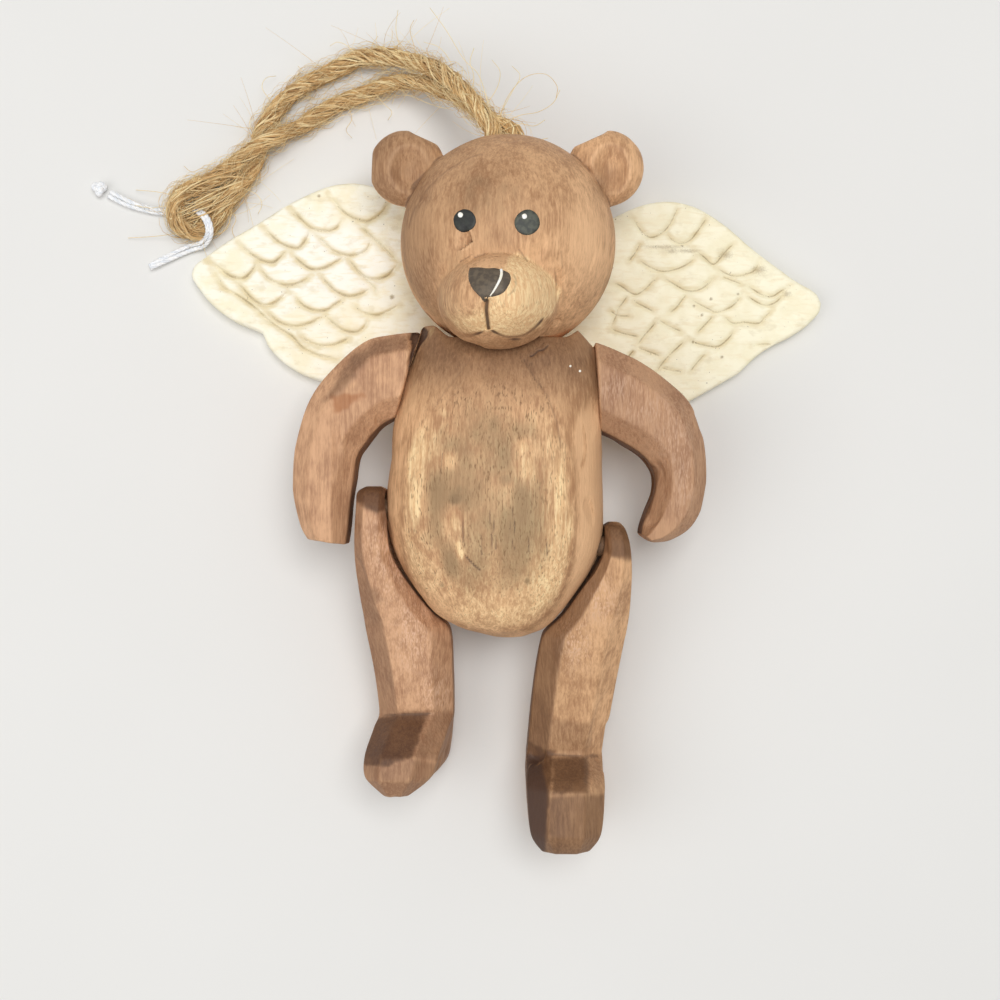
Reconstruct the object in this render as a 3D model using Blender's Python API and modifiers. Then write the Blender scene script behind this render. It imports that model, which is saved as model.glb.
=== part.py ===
# Jointed wooden bear figure with two wings, lying on its back.
# Metres. +X is the viewer's right, +Y is towards the head, +Z is up from the table.
# The origin is on the table, below the middle of the figure.

import math

import bmesh
import bpy
from mathutils import Matrix, Vector

# Clearances
FIT = 0.0003

# How far a cutter runs past the face that it cuts through, and how far a flat cutter reaches
CUT_PAST = 0.0040
CUTTER_REACH = 0.0600

# Wings: carved plates that carry the back of the figure
WING_THICKNESS = 0.0040
WING_ROOT_GAP = 0.0016
WING_MIDLINE_X = -0.0008

# Body: an egg with a flat back, flat shoulders and flat hips
BODY_BACK_DEPTH = 0.0142
BODY_TOP_Y = 0.0265
BODY_SIDES = 36
BODY_SQUARENESS_AT_TOP = 2.40
BODY_SQUARENESS_AT_BOTTOM = 1.95

# Head: a ball with a muzzle and two ears
HEAD_CENTRE_X = 0.0002
HEAD_RADIUS_ACROSS = 0.0187
HEAD_RADIUS_DEEP = 0.0166
HEAD_SINK = 0.0023
MUZZLE_CENTRE_X = -0.0015
MUZZLE_RISE = 0.0057
MUZZLE_RADII = (0.0102, 0.0083, 0.0130)
MUZZLE_FORWARD = 0.0085
EAR_RADIUS = 0.0067
EAR_HALF_THICKNESS = 0.0036
EAR_OUT_LEFT = 0.0176
EAR_OUT_RIGHT = 0.0170
EAR_UP = 0.0131
EAR_HOLLOW_RADIUS = 0.0045
EAR_HOLLOW_DEPTH = 0.0016

# Neck dowel
DOWEL_RADIUS = 0.0030
DOWEL_LENGTH = 0.0160
DOWEL_X = -0.0002

# Shoulders: pivot height above the origin line, and lean of each flat
LEFT_SHOULDER_X = -0.0167
LEFT_SHOULDER_Y = 0.0203
LEFT_SHOULDER_LEAN = math.radians(15.8)
RIGHT_SHOULDER_X = 0.0153
RIGHT_SHOULDER_Y = 0.0184
RIGHT_SHOULDER_LEAN = math.radians(3.3)
SHOULDER_PEG_RADIUS = 0.0021
SHOULDER_PEG_IN_BODY = 0.0080
SHOULDER_PEG_IN_ARM = 0.0060

# Hips: the flats stand square to X, and the hip axis lies in front of the shoulder axis
HIP_RISE = 0.0015
HIP_FLAT_HALF_LENGTH = 0.0090
LEFT_HIP_X = -0.0204
LEFT_HIP_Y = -0.0030
RIGHT_HIP_X = 0.0165
RIGHT_HIP_Y = -0.0095
HIP_PEG_RADIUS = 0.0018
HIP_PEG_IN_BODY = 0.0080
HIP_PEG_IN_LEG = 0.0034

# Arms: half depth from the shoulder axis to the front and the back of an arm
ARM_HALF_DEPTH = 0.0075
ARM_HAND_HALF_DEPTH = 0.0066
ARM_CHAMFER_WIDE = 0.0036
ARM_CHAMFER_DEEP = 0.0030
ARM_CHAMFER_LARGEST_SHARE = 0.6

# Legs
LEG_CHAMFER_SHARE = 0.27

# Brads that hold each wing to the body
BRAD_RADIUS = 0.0006
BRAD_HEAD_RADIUS = 0.0013
BRAD_HEAD_THICKNESS = 0.0006
BRAD_LENGTH = 0.0100
BRAD_HEAD_RECESS = 0.0001
BRAD_SPACING = 0.0055
BRAD_OUT = 0.0062
BRAD_UPPER_Y = 0.0205

# Twine loop and tag string
TWINE_DIAMETER = 0.0032
TWINE_HOLE_DEPTH = 0.0080
TWINE_HOLE_X = -0.0003
TWINE_STRAND_SPACING = 0.0037
TWINE_POINT_STEP = 0.0040
STRING_DIAMETER = 0.0018
STRING_POINT_STEP = 0.0024
KNOT_RADIUS = 0.0017
CORD_BEVEL_RESOLUTION = 2
CORD_SAMPLES = 16

# Fineness of round pieces: sides, or segments and rings
HEAD_FACETS = (40, 24)
MUZZLE_FACETS = (32, 18)
EAR_FACETS = (24, 14)
EAR_HOLLOW_FACETS = (16, 10)
KNOT_FACETS = (16, 10)
CYLINDER_SIDES = 24
PEG_SIDES = 20
BRAD_SIDES = 14
BRAD_RECESS_SIDES = 18
WING_CURVE_FINENESS = 4
WELD_DISTANCE = 0.00001
SMOOTH_BELOW_DEGREES = 35

# Places that follow from the sizes
BODY_BACK_Z = WING_THICKNESS + FIT
AXIS_Z = BODY_BACK_Z + BODY_BACK_DEPTH
HIP_AXIS_Z = AXIS_Z + HIP_RISE
HEAD_CENTRE_Y = BODY_TOP_Y + FIT + HEAD_RADIUS_ACROSS - HEAD_SINK
HEAD_CENTRE_Z = BODY_BACK_Z + FIT + HEAD_RADIUS_DEEP
HEAD_TOP_Y = HEAD_CENTRE_Y + HEAD_RADIUS_ACROSS

# Body rings from the neck down: height, left edge, right edge, front, back.
# Front and back are measured from the axis of the shoulders and hips.
BODY_RINGS = (
    (BODY_TOP_Y, -0.0158, 0.0150, 0.0085, 0.0126),
    (0.0230, -0.0176, 0.0166, 0.0104, 0.0144),
    (0.0180, -0.0189, 0.0174, 0.0119, 0.0155),
    (0.0120, -0.0199, 0.0170, 0.0133, 0.0156),
    (0.0050, -0.0204, 0.0167, 0.0143, 0.0152),
    (-0.0030, -0.0212, 0.0169, 0.0146, 0.0142),
    (-0.0090, -0.0202, 0.0167, 0.0140, 0.0128),
    (-0.0136, -0.0182, 0.0149, 0.0129, 0.0115),
    (-0.0180, -0.0152, 0.0119, 0.0113, 0.0099),
    (-0.0215, -0.0122, 0.0091, 0.0094, 0.0080),
    (-0.0240, -0.0076, 0.0064, 0.0066, 0.0056),
    (-0.0254, -0.0022, 0.0028, 0.0026, 0.0022),
)

# Arm rings from the shoulder to the hand: outer out, outer down, inner out, inner down.
# Out and down are measured from the shoulder, square to its flat and along it.
LEFT_ARM_RINGS = (
    (0.0000, -0.0076, 0.0000, 0.0078),
    (0.0046, -0.0058, 0.0011, 0.0086),
    (0.0090, -0.0032, 0.0024, 0.0101),
    (0.0133, 0.0034, 0.0038, 0.0132),
    (0.0155, 0.0098, 0.0047, 0.0164),
    (0.0155, 0.0187, 0.0042, 0.0205),
    (0.0140, 0.0247, 0.0038, 0.0240),
    (0.0112, 0.0302, 0.0030, 0.0284),
    (0.0092, 0.0324, 0.0026, 0.0315),
)
RIGHT_ARM_RINGS = (
    (0.0000, -0.0076, 0.0000, 0.0078),
    (0.0042, -0.0056, 0.0020, 0.0090),
    (0.0078, -0.0036, 0.0042, 0.0104),
    (0.0128, 0.0004, 0.0070, 0.0124),
    (0.0165, 0.0050, 0.0086, 0.0145),
    (0.0181, 0.0121, 0.0092, 0.0164),
    (0.0176, 0.0202, 0.0089, 0.0191),
    (0.0152, 0.0252, 0.0074, 0.0224),
    (0.0114, 0.0275, 0.0064, 0.0250),
    (0.0082, 0.0278, 0.0062, 0.0262),
)

# Leg rings from the hip to the sole: drop, inner, outer, back, front, toe turn.
# Inner and outer are measured out from the leg's flat at the hip, the rest from the hip axis.
RIGHT_LEG_RINGS = (
    (-0.0042, 0.0012, 0.0028, -0.0045, 0.0015, 0.0),
    (-0.0032, 0.0000, 0.0037, -0.0063, 0.0034, 0.0),
    (-0.0010, 0.0000, 0.0044, -0.0077, 0.0047, 0.0),
    (0.0013, 0.0000, 0.0047, -0.0082, 0.0050, 0.0),
    (0.0050, -0.0018, 0.0049, -0.0090, 0.0046, 0.0),
    (0.0085, -0.0042, 0.0049, -0.0099, 0.0039, 0.0),
    (0.0120, -0.0069, 0.0047, -0.0107, 0.0031, 0.0),
    (0.0152, -0.0100, 0.0043, -0.0115, 0.0024, 0.0),
    (0.0176, -0.0109, 0.0038, -0.0121, 0.0018, 0.0),
    (0.0256, -0.0121, 0.0024, -0.0143, -0.0005, 0.0),
    (0.0366, -0.0131, 0.0006, -0.0171, -0.0036, 0.0),
    (0.0390, -0.0132, 0.0004, -0.0187, -0.0013, 0.0),
    (0.0423, -0.0133, 0.0004, -0.0199, 0.0040, 0.0),
    (0.0500, -0.0127, -0.0003, -0.0200, 0.0050, 0.0),
    (0.0535, -0.0106, -0.0024, -0.0175, 0.0025, 0.0),
)
LEFT_LEG_RINGS = (
    (-0.0040, 0.0014, 0.0038, -0.0045, 0.0015, 0.0),
    (-0.0030, 0.0000, 0.0053, -0.0067, 0.0035, 0.0),
    (-0.0005, 0.0000, 0.0054, -0.0079, 0.0047, 0.0),
    (0.0034, 0.0000, 0.0057, -0.0084, 0.0050, 0.0),
    (0.0070, -0.0004, 0.0058, -0.0092, 0.0043, 0.0),
    (0.0106, -0.0019, 0.0056, -0.0100, 0.0035, 0.0),
    (0.0150, -0.0049, 0.0051, -0.0110, 0.0025, 0.0),
    (0.0185, -0.0078, 0.0046, -0.0118, 0.0017, 0.0),
    (0.0215, -0.0106, 0.0042, -0.0126, 0.0010, 0.0),
    (0.0290, -0.0111, 0.0029, -0.0144, -0.0008, 0.0),
    (0.0364, -0.0112, 0.0021, -0.0164, -0.0028, 0.0),
    (0.0388, -0.0112, 0.0021, -0.0181, -0.0005, 0.0010),
    (0.0430, -0.0110, 0.0020, -0.0199, 0.0040, 0.0026),
    (0.0468, -0.0100, 0.0014, -0.0200, 0.0047, 0.0030),
    (0.0502, -0.0062, -0.0022, -0.0175, 0.0020, 0.0030),
)

# Wing outlines from the root's upper corner round the tip to its lower corner.
# The flag says that the outline has a corner there.
LEFT_WING_OUTLINE = (
    (-0.0030, 0.0250, False),
    (-0.0080, 0.0400, False),
    (-0.0160, 0.0520, False),
    (-0.0235, 0.0565, False),
    (-0.0300, 0.0575, False),
    (-0.0374, 0.0552, False),
    (-0.0463, 0.0500, False),
    (-0.0556, 0.0441, False),
    (-0.0586, 0.0410, False),
    (-0.0573, 0.0379, False),
    (-0.0521, 0.0327, False),
    (-0.0454, 0.0296, True),
    (-0.0441, 0.0268, False),
    (-0.0395, 0.0227, False),
    (-0.0335, 0.0203, True),
    (-0.0220, 0.0140, False),
    (-0.0120, 0.0105, False),
)
RIGHT_WING_OUTLINE = (
    (0.0040, 0.0250, False),
    (0.0090, 0.0390, False),
    (0.0145, 0.0475, False),
    (0.0209, 0.0516, False),
    (0.0278, 0.0540, False),
    (0.0332, 0.0537, False),
    (0.0387, 0.0511, False),
    (0.0464, 0.0448, False),
    (0.0531, 0.0398, False),
    (0.0586, 0.0352, False),
    (0.0564, 0.0314, False),
    (0.0527, 0.0288, True),
    (0.0478, 0.0262, False),
    (0.0432, 0.0221, True),
    (0.0387, 0.0195, False),
    (0.0335, 0.0166, True),
    (0.0220, 0.0125, False),
    (0.0110, 0.0105, False),
)
WING_ROOT_LOW_Y = 0.0105

# Twine route from one end in the head to the other, chosen by hand: X, Y, height
TWINE_ON_TABLE = TWINE_DIAMETER / 2 + FIT
TWINE_ROUTE = (
    (-0.0048, 0.0667, 0.0205),
    (-0.0093, 0.0728, 0.0160),
    (-0.0134, 0.0767, 0.0115),
    (-0.0190, 0.0797, 0.0066),
    (-0.0264, 0.0812, 0.0028),
    (-0.0329, 0.0786, TWINE_ON_TABLE),
    (-0.0388, 0.0756, TWINE_ON_TABLE),
    (-0.0428, 0.0720, TWINE_ON_TABLE),
    (-0.0454, 0.0676, TWINE_ON_TABLE),
    (-0.0464, 0.0643, TWINE_ON_TABLE),
    (-0.0475, 0.0609, TWINE_ON_TABLE),
    (-0.0496, 0.0576, TWINE_ON_TABLE),
    (-0.0521, 0.0546, TWINE_ON_TABLE),
    (-0.0540, 0.0518, TWINE_ON_TABLE),
    (-0.0563, 0.0494, TWINE_ON_TABLE),
    (-0.0590, 0.0487, 0.0022),
    (-0.0612, 0.0501, 0.0036),
    (-0.0618, 0.0527, 0.0040),
    (-0.0608, 0.0552, 0.0034),
    (-0.0585, 0.0571, 0.0020),
    (-0.0553, 0.0584, TWINE_ON_TABLE),
    (-0.0516, 0.0606, 0.0024),
    (-0.0480, 0.0629, 0.0042),
    (-0.0450, 0.0647, 0.0051),
    (-0.0417, 0.0665, 0.0038),
    (-0.0379, 0.0689, 0.0019),
    (-0.0329, 0.0720, TWINE_ON_TABLE),
    (-0.0273, 0.0744, 0.0018),
    (-0.0201, 0.0761, 0.0046),
    (-0.0126, 0.0735, 0.0105),
    (-0.0076, 0.0699, 0.0152),
    (-0.0027, 0.0648, 0.0200),
)

# String route from the knot to the cut ends, chosen by hand: X, Y, height
STRING_ON_TABLE = STRING_DIAMETER / 2 + FIT
STRING_ROUTE = (
    (-0.0745, 0.0560, STRING_ON_TABLE),
    (-0.0716, 0.0545, STRING_ON_TABLE),
    (-0.0685, 0.0534, STRING_ON_TABLE),
    (-0.0649, 0.0526, STRING_ON_TABLE),
    (-0.0615, 0.0526, STRING_ON_TABLE),
    (-0.0593, 0.0528, 0.0014),
    (-0.0575, 0.0524, 0.0032),
    (-0.0556, 0.0506, 0.0048),
    (-0.0551, 0.0482, 0.0044),
    (-0.0566, 0.0465, 0.0023),
    (-0.0594, 0.0458, STRING_ON_TABLE),
    (-0.0630, 0.0442, STRING_ON_TABLE),
    (-0.0669, 0.0423, STRING_ON_TABLE),
)

# Colours, roughness and metallic value of each material
MATERIALS = {
    "stained_wood": ((0.38, 0.195, 0.11), 0.62, 0.0),
    "painted_wing": ((0.79, 0.73, 0.56), 0.70, 0.0),
    "bare_dowel": ((0.62, 0.46, 0.28), 0.70, 0.0),
    "steel_brad": ((0.55, 0.55, 0.56), 0.35, 1.0),
    "twine": ((0.52, 0.37, 0.19), 0.90, 0.0),
    "white_string": ((0.80, 0.83, 0.86), 0.85, 0.0),
}


def remove_old_objects():
    for old in list(bpy.data.objects):
        bpy.data.objects.remove(old, do_unlink=True)


def new_collection(name):
    collection = bpy.data.collections.new(name)
    bpy.context.scene.collection.children.link(collection)
    return collection


def make_material(name):
    colour, roughness, metallic = MATERIALS[name]
    material = bpy.data.materials.new(name)
    material.use_nodes = True
    shader = material.node_tree.nodes["Principled BSDF"]
    shader.inputs["Base Color"].default_value = (*colour, 1.0)
    shader.inputs["Roughness"].default_value = roughness
    shader.inputs["Metallic"].default_value = metallic
    return material


remove_old_objects()
parts = new_collection("jointed_wooden_bear")
cutters = new_collection("cutters")


def move_to(obj, collection):
    for owner in list(obj.users_collection):
        owner.objects.unlink(obj)
    collection.objects.link(obj)


def as_part(obj, name, material_name):
    obj.name = name
    obj.data.name = name
    obj.data.materials.clear()
    material = bpy.data.materials.get(material_name) or make_material(material_name)
    obj.data.materials.append(material)
    move_to(obj, parts)
    return obj


def as_cutter(obj, name):
    obj.name = name
    obj.hide_render = True
    obj.display_type = "WIRE"
    move_to(obj, cutters)
    return obj


def smooth_shade(obj):
    obj.data.shade_smooth()
    obj.data.set_sharp_from_angle(angle=math.radians(SMOOTH_BELOW_DEGREES))


def boolean(obj, tool, operation):
    modifier = obj.modifiers.new(operation.lower() + "_" + tool.name, "BOOLEAN")
    modifier.object = tool
    modifier.operation = operation
    modifier.solver = "EXACT"


def apply_transform(obj):
    obj.data.transform(obj.matrix_basis)
    obj.matrix_basis = Matrix.Identity(4)


def cylinder(radius, length, centre, direction, sides=CYLINDER_SIDES):
    """A cylinder of the given length, centred, with its axis along a direction."""
    bpy.ops.mesh.primitive_cylinder_add(vertices=sides, radius=radius, depth=length)
    obj = bpy.context.object
    turn = Vector(direction).to_track_quat("Z", "Y").to_matrix().to_4x4()
    obj.matrix_basis = Matrix.Translation(centre) @ turn
    return obj


def box(low, high):
    bpy.ops.mesh.primitive_cube_add(size=1.0)
    obj = bpy.context.object
    low = Vector(low)
    high = Vector(high)
    obj.location = (low + high) / 2
    obj.scale = high - low
    apply_transform(obj)
    return obj


def ball(radii, centre, facets):
    segments, rings = facets
    bpy.ops.mesh.primitive_uv_sphere_add(segments=segments, ring_count=rings, radius=1.0)
    obj = bpy.context.object
    obj.scale = radii
    obj.location = centre
    apply_transform(obj)
    return obj


def loft(rings):
    """A closed solid through rings of equally many points, capped at both ends."""
    mesh = bpy.data.meshes.new("loft")
    bm = bmesh.new()
    rows = [[bm.verts.new(point) for point in ring] for ring in rings]
    count = len(rows[0])
    for upper, lower in zip(rows, rows[1:]):
        for i in range(count):
            j = (i + 1) % count
            bm.faces.new((upper[i], upper[j], lower[j], lower[i]))
    bm.faces.new(rows[0])
    bm.faces.new(rows[-1])
    bmesh.ops.recalc_face_normals(bm, faces=bm.faces)
    bm.to_mesh(mesh)
    bm.free()
    obj = bpy.data.objects.new("loft", mesh)
    parts.objects.link(obj)
    return obj


def set_origin(obj, point):
    """Move an object's origin onto its joint's axis without moving its shape."""
    obj.data.transform(Matrix.Translation(-Vector(point)))
    obj.location = point


def spline_through(points, step):
    """Points about one step apart on a smooth curve through the given points."""
    points = [Vector(p) for p in points]
    padded = [points[0] * 2 - points[1]] + points + [points[-1] * 2 - points[-2]]
    fine = []
    for before, start, end, after in zip(padded, padded[1:], padded[2:], padded[3:]):
        for k in range(CORD_SAMPLES):
            t = k / CORD_SAMPLES
            fine.append(0.5 * (2 * start + (end - before) * t
                               + (2 * before - 5 * start + 4 * end - after) * t ** 2
                               + (3 * start - before - 3 * end + after) * t ** 3))
    fine.append(points[-1])
    lengths = [0.0]
    for a, b in zip(fine, fine[1:]):
        lengths.append(lengths[-1] + (b - a).length)
    count = max(2, round(lengths[-1] / step))
    result = []
    index = 0
    for k in range(count + 1):
        wanted = lengths[-1] * k / count
        while index < len(lengths) - 2 and lengths[index + 1] < wanted:
            index += 1
        span = lengths[index + 1] - lengths[index]
        result.append(fine[index].lerp(fine[index + 1], (wanted - lengths[index]) / span))
    return result, lengths[-1]


def cord_tube(name, route, diameter, step, material_name):
    points, length = spline_through(route, step)
    curve = bpy.data.curves.new(name, "CURVE")
    curve.dimensions = "3D"
    curve.bevel_depth = diameter / 2
    curve.bevel_resolution = CORD_BEVEL_RESOLUTION
    curve.use_fill_caps = True
    spline = curve.splines.new("POLY")
    spline.points.add(len(points) - 1)
    for target, point in zip(spline.points, points):
        target.co = (*point, 1.0)
    obj = bpy.data.objects.new(name, curve)
    parts.objects.link(obj)
    as_part(obj, name, material_name)
    print(name, "length", round(length, 4), "points", len(points))
    return obj


def shoulder_directions(side, lean):
    """Out of the shoulder flat, and down along it."""
    out = Vector((side * math.cos(lean), math.sin(lean), 0.0))
    down = Vector((side * math.sin(lean), -math.cos(lean), 0.0))
    return out, down


def body_ring(height, left, right, front, back):
    """A ring squarer than an ellipse at the top of the body and round at its bottom."""
    centre_x = (left + right) / 2
    half_width = (right - left) / 2
    bottom_y = BODY_RINGS[-1][0]
    share = (height - bottom_y) / (BODY_TOP_Y - bottom_y)
    rise = BODY_SQUARENESS_AT_TOP - BODY_SQUARENESS_AT_BOTTOM
    power = 2 / (BODY_SQUARENESS_AT_BOTTOM + rise * share)
    ring = []
    for k in range(BODY_SIDES):
        angle = math.tau * k / BODY_SIDES
        c = math.cos(angle)
        s = math.sin(angle)
        depth = front if s > 0 else back
        x = centre_x + half_width * math.copysign(abs(c) ** power, c)
        z = AXIS_Z + depth * math.copysign(abs(s) ** power, s)
        ring.append((x, height, z))
    return ring


def cut_peg_hole(obj, name, radius, start, end):
    start = Vector(start)
    end = Vector(end)
    along = (end - start).normalized()
    hole = cylinder(radius + FIT, (end - start).length, (start + end) / 2, along)
    boolean(obj, as_cutter(hole, name), "DIFFERENCE")


# Joints: side, place of the pivot, and lean of the shoulder's flat
SHOULDERS = {
    "left": (-1, Vector((LEFT_SHOULDER_X, LEFT_SHOULDER_Y, AXIS_Z)), LEFT_SHOULDER_LEAN),
    "right": (1, Vector((RIGHT_SHOULDER_X, RIGHT_SHOULDER_Y, AXIS_Z)), RIGHT_SHOULDER_LEAN),
}
HIPS = {
    "left": (-1, Vector((LEFT_HIP_X, LEFT_HIP_Y, HIP_AXIS_Z))),
    "right": (1, Vector((RIGHT_HIP_X, RIGHT_HIP_Y, HIP_AXIS_Z))),
}
NECK = Vector((DOWEL_X, BODY_TOP_Y + FIT / 2, AXIS_Z + FIT))


def make_body():
    body = loft([body_ring(*ring) for ring in BODY_RINGS])
    as_part(body, "body", "stained_wood")
    reach = CUTTER_REACH
    back = box((-reach, -reach, -reach), (reach, reach, BODY_BACK_Z))
    boolean(body, as_cutter(back, "back_flat_cutter"), "DIFFERENCE")
    for side_name, (side, pivot, lean) in SHOULDERS.items():
        out, down = shoulder_directions(side, lean)
        half_length = ARM_HALF_DEPTH + CUT_PAST
        slab = box((0, -half_length, -reach), (reach, half_length, reach))
        slab.matrix_basis = Matrix.Translation(pivot) @ Matrix((
            (out.x, -down.x, 0, 0), (out.y, -down.y, 0, 0), (0, 0, 1, 0), (0, 0, 0, 1)))
        boolean(body, as_cutter(slab, side_name + "_shoulder_flat_cutter"), "DIFFERENCE")
        inside = pivot - out * (SHOULDER_PEG_IN_BODY + FIT)
        cut_peg_hole(body, side_name + "_shoulder_hole_cutter", SHOULDER_PEG_RADIUS, inside,
                     pivot + out * CUT_PAST)
    for side_name, (side, pivot) in HIPS.items():
        out = Vector((side, 0, 0))
        far = pivot + out * reach
        low = Vector((min(pivot.x, far.x), pivot.y - HIP_FLAT_HALF_LENGTH, -reach))
        high = Vector((max(pivot.x, far.x), pivot.y + HIP_FLAT_HALF_LENGTH, reach))
        boolean(body, as_cutter(box(low, high), side_name + "_hip_flat_cutter"), "DIFFERENCE")
        inside = pivot - out * (HIP_PEG_IN_BODY + FIT)
        cut_peg_hole(body, side_name + "_hip_hole_cutter", HIP_PEG_RADIUS, inside,
                     pivot + out * CUT_PAST)
    neck_bottom = NECK - Vector((0, DOWEL_LENGTH / 2 + FIT, 0))
    cut_peg_hole(body, "neck_hole_in_body_cutter", DOWEL_RADIUS, neck_bottom,
                 NECK + Vector((0, CUT_PAST, 0)))
    return body


def make_head():
    centre = Vector((HEAD_CENTRE_X, HEAD_CENTRE_Y, HEAD_CENTRE_Z))
    head = ball((HEAD_RADIUS_ACROSS, HEAD_RADIUS_ACROSS, HEAD_RADIUS_DEEP), centre, HEAD_FACETS)
    as_part(head, "head", "stained_wood")
    muzzle_centre = Vector((MUZZLE_CENTRE_X, BODY_TOP_Y + MUZZLE_RISE, HEAD_CENTRE_Z + MUZZLE_FORWARD))
    muzzle = ball(MUZZLE_RADII, muzzle_centre, MUZZLE_FACETS)
    boolean(head, as_cutter(muzzle, "muzzle_shape"), "UNION")
    for side_name, out in (("left", -EAR_OUT_LEFT), ("right", EAR_OUT_RIGHT)):
        ear_centre = centre + Vector((out, EAR_UP, 0))
        ear = ball((EAR_RADIUS, EAR_RADIUS, EAR_HALF_THICKNESS), ear_centre, EAR_FACETS)
        boolean(head, as_cutter(ear, side_name + "_ear_shape"), "UNION")
        hollow_centre = ear_centre + Vector((0, 0, EAR_HALF_THICKNESS))
        hollow_radii = (EAR_HOLLOW_RADIUS, EAR_HOLLOW_RADIUS, EAR_HOLLOW_DEPTH)
        hollow = ball(hollow_radii, hollow_centre, EAR_HOLLOW_FACETS)
        boolean(head, as_cutter(hollow, side_name + "_ear_hollow_cutter"), "DIFFERENCE")
    reach = CUTTER_REACH
    body_front_at_top = AXIS_Z + BODY_RINGS[1][3]
    seat = box((-reach, -reach, -reach), (reach, BODY_TOP_Y + FIT, body_front_at_top + FIT))
    boolean(head, as_cutter(seat, "neck_seat_cutter"), "DIFFERENCE")
    neck_top = NECK + Vector((0, DOWEL_LENGTH / 2 + FIT, 0))
    cut_peg_hole(head, "neck_hole_in_head_cutter", DOWEL_RADIUS, NECK - Vector((0, CUT_PAST, 0)), neck_top)
    hole_bottom = Vector((TWINE_HOLE_X, HEAD_TOP_Y - TWINE_HOLE_DEPTH, HEAD_CENTRE_Z))
    twine_reach = TWINE_STRAND_SPACING / 2 + TWINE_DIAMETER / 2
    cut_peg_hole(head, "twine_hole_cutter", twine_reach, hole_bottom,
                 Vector((TWINE_HOLE_X, HEAD_TOP_Y + CUT_PAST, HEAD_CENTRE_Z)))
    return head


def octagon(centre, wide, deep, half_wide, half_deep, cut_wide, cut_deep, turn=0.0):
    """Eight corners round a centre; turn slides the front half sideways."""
    in_wide = half_wide - cut_wide
    in_deep = half_deep - cut_deep
    corners = ((half_wide, in_deep), (in_wide, half_deep), (-in_wide, half_deep), (-half_wide, in_deep),
               (-half_wide, -in_deep), (-in_wide, -half_deep), (in_wide, -half_deep), (half_wide, -in_deep))
    ring = []
    for across, through in corners:
        slide = turn * (0.5 + 0.5 * through / half_deep)
        ring.append(centre + wide * (across + slide) + deep * through)
    return ring


def make_arm(side_name, rings):
    side, pivot, lean = SHOULDERS[side_name]
    out, down = shoulder_directions(side, lean)
    deep = Vector((0, 0, 1))
    stations = []
    for k, (outer_out, outer_down, inner_out, inner_down) in enumerate(rings):
        outer = pivot + out * (outer_out + FIT) + down * outer_down
        inner = pivot + out * (inner_out + FIT) + down * inner_down
        wide = (outer - inner).normalized()
        half_wide = (outer - inner).length / 2
        share = k / (len(rings) - 1)
        half_deep = ARM_HALF_DEPTH + (ARM_HAND_HALF_DEPTH - ARM_HALF_DEPTH) * share
        cut_wide = min(ARM_CHAMFER_WIDE, half_wide * ARM_CHAMFER_LARGEST_SHARE)
        cut_deep = min(ARM_CHAMFER_DEEP, half_deep * ARM_CHAMFER_LARGEST_SHARE)
        stations.append(octagon((outer + inner) / 2, wide, deep, half_wide, half_deep, cut_wide, cut_deep))
    arm = as_part(loft(stations), side_name + "_arm", "stained_wood")
    set_origin(arm, pivot)
    peg_end = pivot + out * (SHOULDER_PEG_IN_ARM + FIT)
    cut_peg_hole(arm, side_name + "_arm_hole_cutter", SHOULDER_PEG_RADIUS, pivot - out * CUT_PAST, peg_end)
    peg_length = SHOULDER_PEG_IN_BODY + SHOULDER_PEG_IN_ARM
    peg_centre = pivot + out * (SHOULDER_PEG_IN_ARM - SHOULDER_PEG_IN_BODY) / 2
    peg = cylinder(SHOULDER_PEG_RADIUS, peg_length, peg_centre, out, PEG_SIDES)
    as_part(peg, side_name + "_shoulder_peg", "bare_dowel")
    smooth_shade(peg)


def make_leg(side_name, rings):
    side, pivot = HIPS[side_name]
    out = Vector((side, 0, 0))
    deep = Vector((0, 0, 1))
    stations = []
    for drop, inner, outer, back, front, toe_turn in rings:
        half_wide = (outer - inner) / 2
        half_deep = (front - back) / 2
        centre = pivot + out * (FIT + (inner + outer) / 2) + Vector((0, -drop, (front + back) / 2))
        cut = LEG_CHAMFER_SHARE * 2 * min(half_wide, half_deep)
        stations.append(octagon(centre, out, deep, half_wide, half_deep, cut, cut, toe_turn))
    leg = as_part(loft(stations), side_name + "_leg", "stained_wood")
    set_origin(leg, pivot)
    peg_end = pivot + out * (HIP_PEG_IN_LEG + FIT)
    cut_peg_hole(leg, side_name + "_leg_hole_cutter", HIP_PEG_RADIUS, pivot - out * CUT_PAST, peg_end)
    peg_length = HIP_PEG_IN_BODY + HIP_PEG_IN_LEG
    peg_centre = pivot + out * (HIP_PEG_IN_LEG - HIP_PEG_IN_BODY) / 2
    peg = cylinder(HIP_PEG_RADIUS, peg_length, peg_centre, out, PEG_SIDES)
    as_part(peg, side_name + "_hip_peg", "bare_dowel")
    smooth_shade(peg)


def brad_places(side):
    x = WING_MIDLINE_X + side * BRAD_OUT
    return (("upper", x, BRAD_UPPER_Y), ("lower", x, BRAD_UPPER_Y - BRAD_SPACING))


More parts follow.
